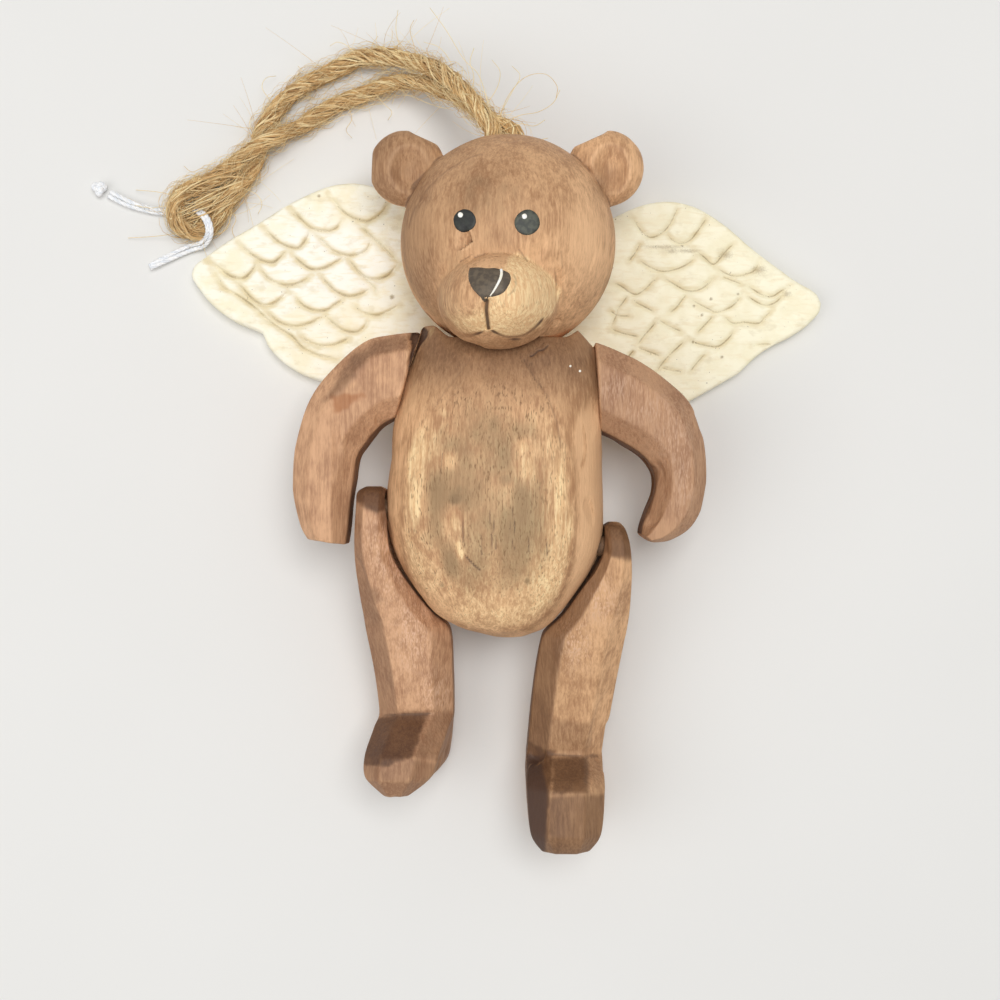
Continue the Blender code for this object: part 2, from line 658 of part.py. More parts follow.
def outline_mesh(name, outline, thickness):
    """A flat plate, its outline smooth but for the marked corners, as a welded mesh."""
    curve = bpy.data.curves.new(name, "CURVE")
    curve.dimensions = "2D"
    curve.fill_mode = "BOTH"
    curve.extrude = thickness / 2
    curve.resolution_u = WING_CURVE_FINENESS
    spline = curve.splines.new("BEZIER")
    spline.use_cyclic_u = True
    spline.bezier_points.add(len(outline) - 1)
    for target, (x, y, corner) in zip(spline.bezier_points, outline):
        target.co = (x, y, 0.0)
        target.handle_left_type = "VECTOR" if corner else "AUTO"
        target.handle_right_type = "VECTOR" if corner else "AUTO"
    source = bpy.data.objects.new(name, curve)
    source.location = (0, 0, thickness / 2)
    parts.objects.link(source)
    bpy.context.view_layer.update()
    evaluated = source.evaluated_get(bpy.context.evaluated_depsgraph_get())
    mesh = bpy.data.meshes.new_from_object(evaluated)
    place = source.matrix_world.copy()
    bpy.data.objects.remove(source, do_unlink=True)
    bm = bmesh.new()
    bm.from_mesh(mesh)
    bmesh.ops.remove_doubles(bm, verts=bm.verts, dist=WELD_DISTANCE)
    bmesh.ops.recalc_face_normals(bm, faces=bm.faces)
    bm.to_mesh(mesh)
    bm.free()
    obj = bpy.data.objects.new(name, mesh)
    obj.matrix_world = place
    parts.objects.link(obj)
    return obj


def make_brad(name, x, y):
    """A round brad with a flat head, turned about its own axis and driven upwards."""
    low = BRAD_HEAD_RECESS
    profile = (
        (0.0, BRAD_LENGTH),
        (BRAD_RADIUS, BRAD_LENGTH - 2 * BRAD_RADIUS),
        (BRAD_RADIUS, low + BRAD_HEAD_THICKNESS),
        (BRAD_HEAD_RADIUS, low + BRAD_HEAD_THICKNESS),
        (BRAD_HEAD_RADIUS, low),
        (0.0, low),
    )
    mesh = bpy.data.meshes.new(name)
    mesh.from_pydata([(r, 0, z) for r, z in profile], [(k, k + 1) for k in range(len(profile) - 1)], [])
    brad = bpy.data.objects.new(name, mesh)
    brad.location = (x, y, 0)
    parts.objects.link(brad)
    turn = brad.modifiers.new("turned", "SCREW")
    turn.steps = BRAD_SIDES
    turn.render_steps = BRAD_SIDES
    turn.use_merge_vertices = True
    turn.merge_threshold = WELD_DISTANCE
    as_part(brad, name, "steel_brad")


def make_wing(side_name, side, outline):
    root_x = WING_MIDLINE_X + side * WING_ROOT_GAP / 2
    root = ((root_x, WING_ROOT_LOW_Y, True), (root_x, outline[0][1] - FIT, True))
    wing = outline_mesh(side_name + "_wing", tuple(outline) + root, WING_THICKNESS)
    as_part(wing, side_name + "_wing", "painted_wing")
    for place, x, y in brad_places(side):
        name = side_name + "_wing_brad_" + place
        shaft = cylinder(BRAD_RADIUS + FIT, 4 * WING_THICKNESS, (x, y, 0), (0, 0, 1), BRAD_SIDES)
        boolean(wing, as_cutter(shaft, name + "_wing_hole_cutter"), "DIFFERENCE")
        recess_top = BRAD_HEAD_RECESS + BRAD_HEAD_THICKNESS + FIT
        recess = cylinder(BRAD_HEAD_RADIUS + FIT, 2 * recess_top, (x, y, 0), (0, 0, 1), BRAD_RECESS_SIDES)
        boolean(wing, as_cutter(recess, name + "_head_recess_cutter"), "DIFFERENCE")
        make_brad(name, x, y)


def cut_brad_holes(body):
    for side_name, side in (("left", -1), ("right", 1)):
        for place, x, y in brad_places(side):
            top = BRAD_LENGTH + FIT
            hole = cylinder(BRAD_RADIUS + FIT, 2 * top, (x, y, 0), (0, 0, 1), BRAD_SIDES)
            name = side_name + "_wing_brad_" + place + "_body_hole_cutter"
            boolean(body, as_cutter(hole, name), "DIFFERENCE")


def make_cords():
    strand = TWINE_STRAND_SPACING / 2
    inside = HEAD_TOP_Y - TWINE_HOLE_DEPTH + FIT
    mouth = HEAD_TOP_Y + FIT
    left_x = TWINE_HOLE_X - strand
    right_x = TWINE_HOLE_X + strand
    start = ((left_x, inside, HEAD_CENTRE_Z), (left_x, mouth, HEAD_CENTRE_Z))
    end = ((right_x, mouth, HEAD_CENTRE_Z), (right_x, inside, HEAD_CENTRE_Z))
    cord_tube("twine_loop", start + TWINE_ROUTE + end, TWINE_DIAMETER, TWINE_POINT_STEP, "twine")
    cord_tube("tag_string", STRING_ROUTE, STRING_DIAMETER, STRING_POINT_STEP, "white_string")
    first = Vector(STRING_ROUTE[0])
    away = (first - Vector(STRING_ROUTE[1])).normalized()
    knot_centre = first + away * (KNOT_RADIUS + FIT)
    knot_centre.z = KNOT_RADIUS
    knot = ball((KNOT_RADIUS, KNOT_RADIUS, KNOT_RADIUS), knot_centre, KNOT_FACETS)
    as_part(knot, "tag_string_knot", "white_string")
    smooth_shade(knot)


def make_neck_dowel():
    dowel = cylinder(DOWEL_RADIUS, DOWEL_LENGTH, NECK, (0, 1, 0))
    as_part(dowel, "neck_dowel", "bare_dowel")
    smooth_shade(dowel)


body = make_body()
cut_brad_holes(body)
make_head()
make_neck_dowel()
make_arm("left", LEFT_ARM_RINGS)
make_arm("right", RIGHT_ARM_RINGS)
make_leg("left", LEFT_LEG_RINGS)
make_leg("right", RIGHT_LEG_RINGS)
make_wing("left", -1, LEFT_WING_OUTLINE)
make_wing("right", 1, RIGHT_WING_OUTLINE)
make_cords()
for rounded in ("body", "head"):
    smooth_shade(bpy.data.objects[rounded])
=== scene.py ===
# Looks of a jointed wooden bear figure with two wings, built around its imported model.
# Metres. +X is the viewer's right, +Y is towards the head, +Z is up from the table.

import math
from contextlib import contextmanager

import bmesh
import bpy
import numpy as np
from mathutils import Matrix, Vector
from mathutils.bvhtree import BVHTree
from mathutils.kdtree import KDTree


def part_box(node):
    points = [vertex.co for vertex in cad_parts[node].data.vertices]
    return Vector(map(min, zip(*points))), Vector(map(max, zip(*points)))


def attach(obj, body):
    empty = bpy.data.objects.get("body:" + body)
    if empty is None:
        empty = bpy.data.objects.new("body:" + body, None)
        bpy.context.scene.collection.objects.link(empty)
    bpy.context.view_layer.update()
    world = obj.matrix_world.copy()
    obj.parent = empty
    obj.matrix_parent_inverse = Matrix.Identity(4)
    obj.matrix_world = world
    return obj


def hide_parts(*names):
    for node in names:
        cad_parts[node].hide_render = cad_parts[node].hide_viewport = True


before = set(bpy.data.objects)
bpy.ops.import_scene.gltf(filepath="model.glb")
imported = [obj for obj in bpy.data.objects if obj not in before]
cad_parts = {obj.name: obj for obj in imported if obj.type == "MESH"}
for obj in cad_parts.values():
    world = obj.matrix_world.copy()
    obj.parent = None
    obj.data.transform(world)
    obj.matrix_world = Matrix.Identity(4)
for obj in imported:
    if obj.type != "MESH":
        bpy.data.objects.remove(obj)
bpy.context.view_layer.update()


def metres(rows):
    """Turns rows written in tenths of a millimetre into metres."""
    return np.array(rows) / 10000


# The camera looks straight down. A pixel of the photograph spans this share of the distance.
CAMERA_PLACE = (-0.0012, -0.00145, 0.280)
PIXEL_SLOPE = 0.000175 / 0.260
PHOTO_SIDE = 1000
SENSOR = 36.0

# Fineness of the carved surfaces
WOOD_VOXEL = 0.00034
WING_VOXEL = 0.00027

# The head's ball, muzzle and ears, as the model has them
HEAD_BALL = ((0.0002, 0.0432, 0.0212), (0.0187, 0.0187, 0.0166))
MUZZLE_BALL = ((-0.0015, 0.0322, 0.0297), (0.0102, 0.0083, 0.0130))
EAR_BALLS = (
    ((-0.0174, 0.0563, 0.0212), (0.0067, 0.0067, 0.0036)),
    ((0.0172, 0.0563, 0.0212), (0.0067, 0.0067, 0.0036)),
)
BODY_AXIS_Z = 0.0185
BODY_SQUARENESS_AT_TOP = 2.40
BODY_SQUARENESS_AT_BOTTOM = 1.95

# Body rings from the neck down: height, left, right, front and back
BODY_RINGS = metres((
    (265, -158, 150, 85, 126), (230, -176, 166, 104, 144), (180, -189, 174, 119, 155),
    (120, -199, 170, 133, 156), (50, -204, 167, 143, 152), (-30, -212, 169, 146, 142),
    (-90, -202, 167, 140, 128), (-136, -182, 149, 129, 115), (-180, -152, 119, 113, 99),
    (-215, -122, 91, 94, 80), (-240, -76, 64, 66, 56), (-254, -22, 28, 26, 22),
))

# Limbs, as the model has them, to be drawn with smooth curves
FIT = 0.0003
SHOULDERS = {
    "left_arm": (-1, (-0.0167, 0.0203, 0.0185), math.radians(15.8)),
    "right_arm": (1, (0.0153, 0.0184, 0.0185), math.radians(3.3)),
}
HIPS = {
    "left_leg": (-1, (-0.0204, -0.0030, 0.0200)),
    "right_leg": (1, (0.0165, -0.0095, 0.0200)),
}
ARM_HALF_DEPTH = 0.0075
ARM_HAND_HALF_DEPTH = 0.0066
ARM_CHAMFER_WIDE = 0.0036
ARM_CHAMFER_DEEP = 0.0030
LEG_CHAMFER_SHARE = 0.27
SHOULDER_HOLE = (0.0024, 0.0063)
HIP_HOLE = (0.0021, 0.0037)

# Arm rings from the shoulder to the hand: outer out, outer down, inner out, inner down
ARM_RINGS = {
    "left_arm": metres((
        (0, -76, 0, 78), (46, -58, 11, 86), (90, -32, 24, 101), (133, 34, 38, 132), (155, 98, 47, 164),
        (155, 187, 42, 205), (140, 247, 38, 240), (112, 302, 30, 284), (92, 324, 26, 315),
    )),
    "right_arm": metres((
        (0, -76, 0, 78), (42, -56, 20, 90), (78, -36, 42, 104), (128, 4, 70, 124), (165, 50, 86, 145),
        (181, 121, 92, 164), (176, 202, 89, 191), (152, 252, 74, 224), (114, 275, 64, 250),
        (82, 278, 62, 262),
    )),
}

# Leg rings from the hip to the sole: drop, inner, outer, back, front, toe turn
LEG_RINGS = {
    "right_leg": metres((
        (-42, 12, 28, -45, 15, 0), (-32, 0, 37, -63, 34, 0), (-10, 0, 44, -77, 47, 0),
        (13, -2, 47, -82, 50, 0), (50, -21, 49, -90, 46, 0), (85, -45, 49, -99, 39, 0),
        (120, -69, 47, -107, 31, 0), (152, -100, 43, -115, 24, 0), (176, -109, 38, -121, 18, 0),
        (256, -121, 24, -143, -5, 0), (366, -131, 6, -171, -36, 0), (390, -132, 4, -187, -13, 0),
        (423, -133, 4, -199, 40, 0), (500, -127, -3, -200, 50, 0), (535, -106, -24, -175, 25, 0),
    )),
    "left_leg": metres((
        (-40, 14, 38, -45, 15, 0), (-30, 0, 53, -67, 35, 0), (-5, 0, 54, -79, 47, 0),
        (34, 0, 57, -84, 50, 0), (70, -4, 58, -92, 43, 0), (106, -19, 56, -100, 35, 0),
        (150, -49, 51, -110, 25, 0), (185, -78, 46, -118, 17, 0), (215, -106, 42, -126, 10, 0),
        (290, -111, 29, -144, -8, 0), (364, -112, 21, -164, -28, 0), (388, -112, 21, -181, -5, 10),
        (430, -110, 20, -199, 40, 26), (468, -100, 14, -200, 47, 30), (502, -62, -22, -175, 20, 30),
    )),
}

# Face, in pixels of the photograph
MOUTH_MIDDLE = ((487.2, 298), (486.4, 309), (487.2, 317), (488.8, 330))
MOUTH_LEFT = (
    (443, 312), (446, 319), (451, 326), (457, 332), (463, 335.5), (471, 335.5), (479, 333), (488, 329.5),
)
MOUTH_RIGHT = (
    (488, 329.5), (493, 331), (499, 334), (506, 336.5), (516, 336.5), (525, 334.5), (533, 329), (541, 321),
    (546, 313),
)
MUZZLE_PALE = (
    (439, 276), (437, 300), (441, 315), (449, 326), (457, 333), (465, 336), (474, 335), (487, 331),
    (493, 331), (500, 335), (508, 337), (517, 337), (526, 334), (534, 328), (541, 321), (552, 314),
    (560, 300), (561, 288), (552, 276), (540, 267), (529, 259), (517, 251), (509, 256), (503, 268),
    (485, 270), (468, 268), (457, 270), (447, 272),
)
NOSE_OUTLINE = (
    (468.5, 267), (478.6, 266.6), (487.2, 267.7), (493.9, 267.3), (500.6, 268.7), (507.3, 271.1),
    (511.1, 274.4), (511.6, 280.2), (509.2, 285.9), (505.4, 291.7), (499.6, 295.5), (492, 297.6),
    (486.8, 300.8), (484.3, 303), (481.4, 299.3), (476.7, 294.5), (471.9, 289.2), (468, 281.1),
    (467.2, 273.5),
)
NOSE_STROKE = ((501, 269), (501.5, 273.5), (500.1, 279.2), (497.2, 285), (493.9, 290.7), (490, 296.2))
NOSE_STROKE_WIDTHS = (2.4, 3.0, 3.0, 2.6, 2.0, 1.3)
EYES = {"left_eye": ((464.6, 220.7), 11.8), "right_eye": ((527.2, 222.5), 13.2)}
EYE_HIGHLIGHTS = {"left_eye_highlight": ((460.6, 215.0), 2.9), "right_eye_highlight": ((524.4, 216.4), 2.9)}

# Incised lines of the wings, in pixels of the photograph; the feather lies above its line
LEFT_WING_LINES = (
    ((328, 194), (336, 204), (344, 212), (354, 218), (365, 221), (374, 218), (382, 212), (388, 204)),
    ((289, 208), (301, 219), (312, 228), (325, 231), (336, 228), (343, 219)),
    ((261, 226), (271, 235), (281, 243), (291, 247), (299, 247), (306, 239), (311, 231)),
    ((238, 242), (246, 250), (256, 257), (264, 261), (273, 262), (280, 257), (288, 250)),
    ((207, 260), (219, 268), (229, 275), (238, 278), (245, 277), (252, 270), (257, 263)),
    ((357, 222), (368, 233), (379, 243), (389, 253), (399, 263)),
    ((312, 230), (322, 240), (333, 250), (347, 255), (358, 254), (367, 249), (371, 240)),
    ((348, 260), (361, 274), (375, 279), (388, 275), (397, 265)),
    ((290, 251), (299, 261), (312, 269), (326, 267), (337, 261), (346, 256)),
    ((319, 274), (329, 285), (339, 293), (350, 296), (362, 293), (372, 288)),
    ((347, 257), (358, 271), (372, 285), (376, 292)),
    ((257, 265), (267, 277), (278, 283), (289, 285), (301, 282), (312, 275)),
    ((292, 293), (303, 305), (315, 310), (326, 310), (337, 303), (343, 299)),
    ((234, 278), (243, 289), (254, 300), (264, 305), (273, 303), (281, 298), (288, 291)),
    ((264, 308), (275, 319), (287, 325), (298, 326), (312, 322), (326, 315)),
    ((325, 316), (333, 323), (343, 330), (354, 332), (362, 329), (367, 322)),
    ((299, 333), (306, 340), (318, 345), (332, 345), (343, 341), (350, 338)),
    ((353, 305), (362, 312), (375, 315), (386, 312), (400, 305)),
    ((211, 268), (222, 286), (239, 296), (253, 306), (267, 319), (281, 329), (292, 336), (302, 347),
     (315, 354), (329, 358), (339, 361)),
)
RIGHT_WING_LINES = (
    ((631, 215), (638, 226), (646, 235), (653, 237), (662, 233), (670, 224), (676, 212), (679, 205)),
    ((666, 233), (672, 239), (680, 243), (689, 241), (697, 232), (704, 222), (708, 217)),
    ((694, 249), (705, 257), (714, 264), (722, 256), (729, 248), (735, 243)),
    ((715, 266), (726, 273), (736, 276), (746, 274), (755, 270), (760, 260)),
    ((745, 283), (755, 290), (764, 295), (773, 296), (781, 291), (792, 285)),
    ((746, 294), (756, 301), (766, 305), (776, 302), (784, 294)),
    ((628, 262), (635, 253), (641, 242)),
    ((638, 259), (649, 266), (662, 271), (676, 269), (689, 263), (696, 256)),
    ((662, 276), (673, 283), (686, 290), (698, 290), (708, 284), (718, 274)),
    ((722, 276), (732, 280), (743, 284)),
    ((689, 298), (700, 304), (710, 309), (717, 312), (729, 308), (738, 301), (745, 290)),
    ((722, 313), (729, 320), (735, 323), (745, 322), (759, 323), (766, 316), (773, 309)),
    ((610, 282), (620, 285), (630, 292), (637, 294), (644, 290), (651, 283), (658, 276)),
    ((634, 301), (644, 306), (655, 312)),
    ((669, 313), (676, 308), (683, 299), (687, 294)),
    ((658, 319), (670, 326), (683, 332)),
    ((697, 333), (705, 325), (714, 315)),
    ((689, 339), (697, 343), (710, 346), (719, 346), (728, 339), (736, 329)),
    ((610, 328), (623, 333), (641, 337)),
    ((610, 329), (616, 316), (618, 309), (624, 301), (628, 294)),
    ((610, 310), (618, 315), (631, 316)),
    ((637, 347), (648, 351), (663, 357)),
    ((637, 346), (644, 336), (651, 328), (656, 322)),
    ((661, 367), (670, 370), (683, 371)),
    ((655, 374), (665, 360), (676, 349), (686, 340)),
    ((690, 372), (697, 363), (707, 352)),
    ((628, 357), (634, 350)),
    ((752, 346), (762, 344), (773, 344)),
)

# Stains and specks of the wings: place in pixels, radius in metres, strength
LEFT_WING_SPECKS = (
    ((319, 196), 0.00035, 1.0),
    ((392, 297), 0.00050, 1.0),
    ((300, 214), (0.0030, 0.0008), 0.35),
    ((262, 300), (0.0012, 0.0010), 0.30),
    ((322, 276), (0.0016, 0.0008), 0.30),
)
RIGHT_WING_SPECKS = (
    ((665, 247), (0.0050, 0.0005), 0.60),
    ((688, 251), (0.0030, 0.0005), 0.62),
    ((672, 251), (0.0016, 0.0007), 0.60),
    ((726, 255), (0.0016, 0.0010), 0.60),
    ((759, 270), (0.0018, 0.0010), 0.65),
    ((787, 294), (0.0010, 0.0008), 0.60),
    ((738, 294), 0.00030, 1.0),
    ((711, 299), 0.00035, 1.0),
    ((694, 306), 0.00030, 1.0),
    ((702, 315), 0.00030, 1.0),
    ((693, 342), 0.00030, 1.0),
    ((722, 357), 0.00035, 1.0),
    ((655, 322), (0.0016, 0.0008), 0.30),
)

# Twine: the model's route from one end in the head to the other
TWINE_DIAMETER = 0.0032
TWINE_ROUTE = metres((
    (-21.5, 542, 212), (-21.5, 622, 212), (-48, 667, 205), (-93, 728, 160), (-134, 767, 115),
    (-190, 797, 66), (-264, 812, 28), (-329, 786, 19), (-388, 756, 19), (-428, 720, 19), (-454, 676, 19),
    (-464, 643, 19), (-475, 609, 19), (-496, 576, 19), (-521, 546, 19), (-540, 518, 19), (-563, 494, 19),
    (-590, 487, 22), (-612, 501, 36), (-618, 527, 40), (-608, 552, 34), (-585, 571, 20), (-553, 584, 19),
    (-516, 606, 24), (-480, 629, 42), (-450, 647, 51), (-417, 665, 38), (-379, 689, 19), (-329, 720, 19),
    (-273, 744, 18), (-201, 761, 46), (-126, 735, 105), (-76, 699, 152), (-27, 648, 200), (15.5, 622, 212),
    (15.5, 542, 212),
))

# Tag string: the model's route from the knot to the cut ends
STRING_ROUTE = metres((
    (-745, 560, 12), (-716, 545, 12), (-685, 534, 12), (-649, 526, 12), (-615, 526, 12), (-593, 528, 14),
    (-575, 524, 32), (-556, 506, 48), (-551, 482, 44), (-566, 465, 23), (-594, 458, 12), (-630, 442, 12),
    (-669, 423, 12),
))

# Long loose fibres of the twine: pixels of the photograph, and height above the table in millimetres
STRAY_FIBRES_AT_HEAD = (
    ((497, 130, 21), (506, 100, 23), (524, 78, 22), (545, 74, 19), (557, 86, 17), (556, 98, 16)),
    ((499, 128, 22), (518, 116, 24), (538, 112, 21), (553, 103, 18), (560, 90, 17)),
    ((496, 122, 21), (512, 92, 24), (520, 76, 21), (512, 66, 18)),
    ((494, 125, 22), (486, 96, 24), (478, 74, 20), (463, 58, 16), (446, 30, 12), (430, 8, 8)),
    ((500, 132, 22), (520, 124, 23), (534, 126, 20), (545, 120, 18)),
    ((480, 112, 20), (496, 90, 21), (500, 72, 18), (492, 60, 16)),
    ((470, 100, 17), (474, 78, 16), (470, 62, 13), (474, 48, 10)),
    ((462, 98, 14), (448, 108, 11), (430, 104, 8), (410, 96, 5), (396, 96, 3), (392, 104, 1.5)),
    ((505, 133, 22), (524, 135, 22), (536, 140, 21), (548, 138, 19)),
    ((450, 86, 12), (452, 66, 12), (440, 48, 10), (424, 42, 7)),
)
STRAY_FIBRES_AT_TOP = (
    ((412, 72, 4), (402, 52, 6), (396, 30, 5), (398, 10, 3)),
    ((418, 66, 5), (414, 46, 6), (410, 30, 4), (414, 20, 3)),
    ((390, 74, 3), (376, 60, 4), (372, 46, 3), (378, 36, 2)),
    ((360, 62, 3), (350, 48, 4), (338, 42, 3), (330, 46, 2)),
    ((372, 90, 3), (384, 104, 4), (392, 112, 3), (388, 120, 1.5)),
    ((330, 78, 3), (316, 70, 4), (304, 72, 3), (298, 66, 1.5)),
    ((345, 102, 3), (352, 118, 4), (346, 130, 2.5), (352, 138, 1)),
)
STRAY_FIBRES_AT_FOLD = (
    ((196, 200, 3), (176, 196, 4), (158, 192, 3), (136, 190, 1)),
    ((190, 212, 4), (168, 206, 5), (150, 208, 3), (130, 204, 1)),
    ((200, 226, 3), (182, 232, 3), (158, 236, 2), (128, 238, 1)),
    ((212, 216, 3), (214, 230, 4), (208, 240, 2), (204, 250, 1)),
    ((258, 138, 3), (250, 126, 4), (252, 116, 3), (262, 112, 1)),
    ((270, 100, 3), (262, 88, 4), (266, 78, 3), (276, 76, 1.5)),
    ((242, 188, 3), (256, 194, 3), (262, 204, 2), (258, 214, 1)),
    ((226, 206, 3), (236, 218, 3), (232, 230, 2), (236, 240, 1)),
    ((216, 176, 3), (204, 168, 4), (192, 172, 3), (184, 166, 1)),
)


# Small numeric helpers


def srgb(red, green, blue):
    """A screen colour as Blender's linear colour."""
    linear = []
    for channel in (red, green, blue):
        c = channel / 255
        linear.append(c / 12.92 if c <= 0.04045 else ((c + 0.055) / 1.055) ** 2.4)
    return (*linear, 1.0)


def smoothstep(low, high, value):
    t = np.clip((value - low) / (high - low), 0.0, 1.0)
    return t * t * (3 - 2 * t)


def noise(points, size, seed):
    """Smooth noise from -1 to 1 with spots of the given size, one number or one for each axis."""
    side = 32
    table = np.random.default_rng(seed).uniform(-1, 1, (side, side, side))
    place = points / np.asarray(size, float)
    cell = np.floor(place).astype(int)
    t = place - cell
    t = t * t * (3 - 2 * t)
    total = np.zeros(len(points))
    for corner in np.ndindex(2, 2, 2):
        weight = np.prod(np.where(np.array(corner) == 1, t, 1 - t), axis=1)
        x, y, z = ((cell + corner) % side).T
        total += weight * table[x, y, z]
    return total


def to_photo(points):
    """Pixels of the photograph at which points are seen."""
    scale = (CAMERA_PLACE[2] - points[:, 2]) * PIXEL_SLOPE
    x = PHOTO_SIDE / 2 + (points[:, 0] - CAMERA_PLACE[0]) / scale
    y = PHOTO_SIDE / 2 - (points[:, 1] - CAMERA_PLACE[1]) / scale
    return np.column_stack((x, y))


def from_photo(px, py, z):
    """The point at height z that is seen at a pixel of the photograph."""
    scale = (CAMERA_PLACE[2] - z) * PIXEL_SLOPE
    return np.array((CAMERA_PLACE[0] + (px - PHOTO_SIDE / 2) * scale,
                     CAMERA_PLACE[1] + (PHOTO_SIDE / 2 - py) * scale, z))


def smooth_curve(points, samples=16):
    """Finely spaced points on a smooth curve through the given points."""
    points = np.asarray(points, float)
    padded = np.vstack((2 * points[0] - points[1], points, 2 * points[-1] - points[-2]))
    fine = []
    for before, start, end, after in zip(padded, padded[1:], padded[2:], padded[3:]):
        for k in range(samples):
            t = k / samples
            fine.append(0.5 * (2 * start + (end - before) * t
                               + (2 * before - 5 * start + 4 * end - after) * t ** 2
                               + (3 * start - before - 3 * end + after) * t ** 3))
    fine.append(points[-1])
    return np.array(fine)


def along_line(points):
    """Distance along a line at each of its points."""
    return np.concatenate(([0.0], np.cumsum(np.linalg.norm(np.diff(points, axis=0), axis=1))))


def resampled(rows, along, count):
    """Rows of values, known along a line, at evenly spaced places of it."""
    wanted = np.linspace(0, along[-1], count)
    return np.column_stack([np.interp(wanted, along, column) for column in rows.T])


def evenly(points, step):
    """The same curve with points one step apart, and its length."""
    along = along_line(points)
    return resampled(points, along, max(2, round(along[-1] / step)) + 1), along[-1]


def nearest_on(points, start, end):
    """Share of the way along a straight stretch where points are nearest to it, and their distance."""
    run = end - start
    offset = points - start
    t = np.clip(offset @ run / (run @ run), 0, 1)
    return t, np.linalg.norm(offset - t[:, None] * run, axis=1)


def line_distance(points, line):
    """Distance from a line, share of the way along it, and side: 1 below it, -1 above."""
    line = smooth_curve(line, 4)
    best = np.full(len(points), np.inf)
    share = np.zeros(len(points))
    side = np.ones(len(points))
    for k, (start, end) in enumerate(zip(line, line[1:])):
        t, gap = nearest_on(points, start, end)
        nearer = gap < best
        best[nearer] = gap[nearer]
        share[nearer] = ((k + t) / (len(line) - 1))[nearer]
        run_x, run_y = end - start
        x, y = (points - start).T
        side[nearer] = np.sign(run_x * y - run_y * x)[nearer]
    return best, share, side


def depth_inside(points, outline):
    """How far points lie inside a closed outline; negative outside."""
    closed = np.array(tuple(outline) + (outline[0],), float)
    best = np.full(len(points), np.inf)
    crossings = np.zeros(len(points), bool)
    for start, end in zip(closed, closed[1:]):
        best = np.minimum(best, nearest_on(points, start, end)[1])
        if start[1] != end[1]:
            spans = (start[1] > points[:, 1]) != (end[1] > points[:, 1])
            meets = start[0] + (points[:, 1] - start[1]) * (end[0] - start[0]) / (end[1] - start[1])
            crossings ^= spans & (points[:, 0] < meets)
    return np.where(crossings, best, -best)


def ball_ratio(points, ball):
    """Distance from a ball's centre, in its radii."""
    centre, radii = ball
    return np.linalg.norm((points - centre) / radii, axis=1)


# Materials


class Look:
    """A material, with short ways to add nodes to it."""

    def __init__(self, name, roughness, metallic=0.0):
        self.material = bpy.data.materials.new(name)
        self.material.use_nodes = True
        self.tree = self.material.node_tree
        self.shader = self.tree.nodes["Principled BSDF"].inputs
        self.shader["Metallic"].default_value = metallic
        self.shader["Roughness"].default_value = roughness
        self.place = self.node("TexCoord", "Object")

    def put(self, socket, value):
        if isinstance(value, bpy.types.NodeSocket):
            self.tree.links.new(value, socket)
        else:
            socket.default_value = value

    def node(self, kind, output, inputs=None, **settings):
        """Adds a node, sets or links its inputs, and gives one of its outputs."""
        made = self.tree.nodes.new("ShaderNode" + kind)
        for name, value in settings.items():
            setattr(made, name, value)
        for socket, value in (inputs or {}).items():
            self.put(made.inputs[socket], value)
        return made.outputs[output]

    def noise(self, size, stretch=(1, 1, 1), detail=2.0, distortion=0.0):
        """Noise with spots of a size in metres, drawn out along each axis."""
        scale = [1 / (size * k) for k in stretch]
        place = self.node("Mapping", "Vector", {"Vector": self.place, "Scale": scale})
        values = {"Vector": place, "Scale": 1.0, "Detail": detail, "Distortion": distortion}
        return self.node("TexNoise", "Fac", values)

    def step(self, value, low, high, top=1.0):
        """Rises from 0 to top as the value goes from low to high."""
        values = {"Value": value, "From Min": low, "From Max": high, "To Max": top}
        return self.node("MapRange", "Result", values, interpolation_type="SMOOTHSTEP")

    def sum(self, first, second, factor=1.0):
        """first + second * factor"""
        return self.node("Math", 0, {0: second, 1: factor, 2: first}, operation="MULTIPLY_ADD")

    def product(self, first, second):
        return self.node("Math", 0, {0: first, 1: second}, operation="MULTIPLY")

    def mask(self, name):
        return self.node("Attribute", "Fac", attribute_name=name)

    def marks(self, mask, uneven, share, low, high, top):
        """How strongly a mask shows where an uneven value breaks it up."""
        return self.step(self.sum(self.mask(mask), uneven, share), low, high, top)

    def mix(self, factor, first, second, blend="MIX"):
        values = {0: factor, 6: first, 7: second}
        return self.node("Mix", 2, values, data_type="RGBA", blend_type=blend)

    def nap(self, roughness, tint):
        """The faint sheen of loose fibres."""
        for name, value in (("Weight", 0.3), ("Roughness", roughness), ("Tint", tint)):
            self.shader["Sheen " + name].default_value = value

    def finish(self, colour, height=None, depth=0.0, roughness=None):
        self.put(self.shader["Base Color"], colour)
        if roughness is not None:
            self.put(self.shader["Roughness"], roughness)
        if height is not None:
            bump = self.node("Bump", "Normal", {"Height": height, "Distance": depth})
            self.put(self.shader["Normal"], bump)
        return self.material


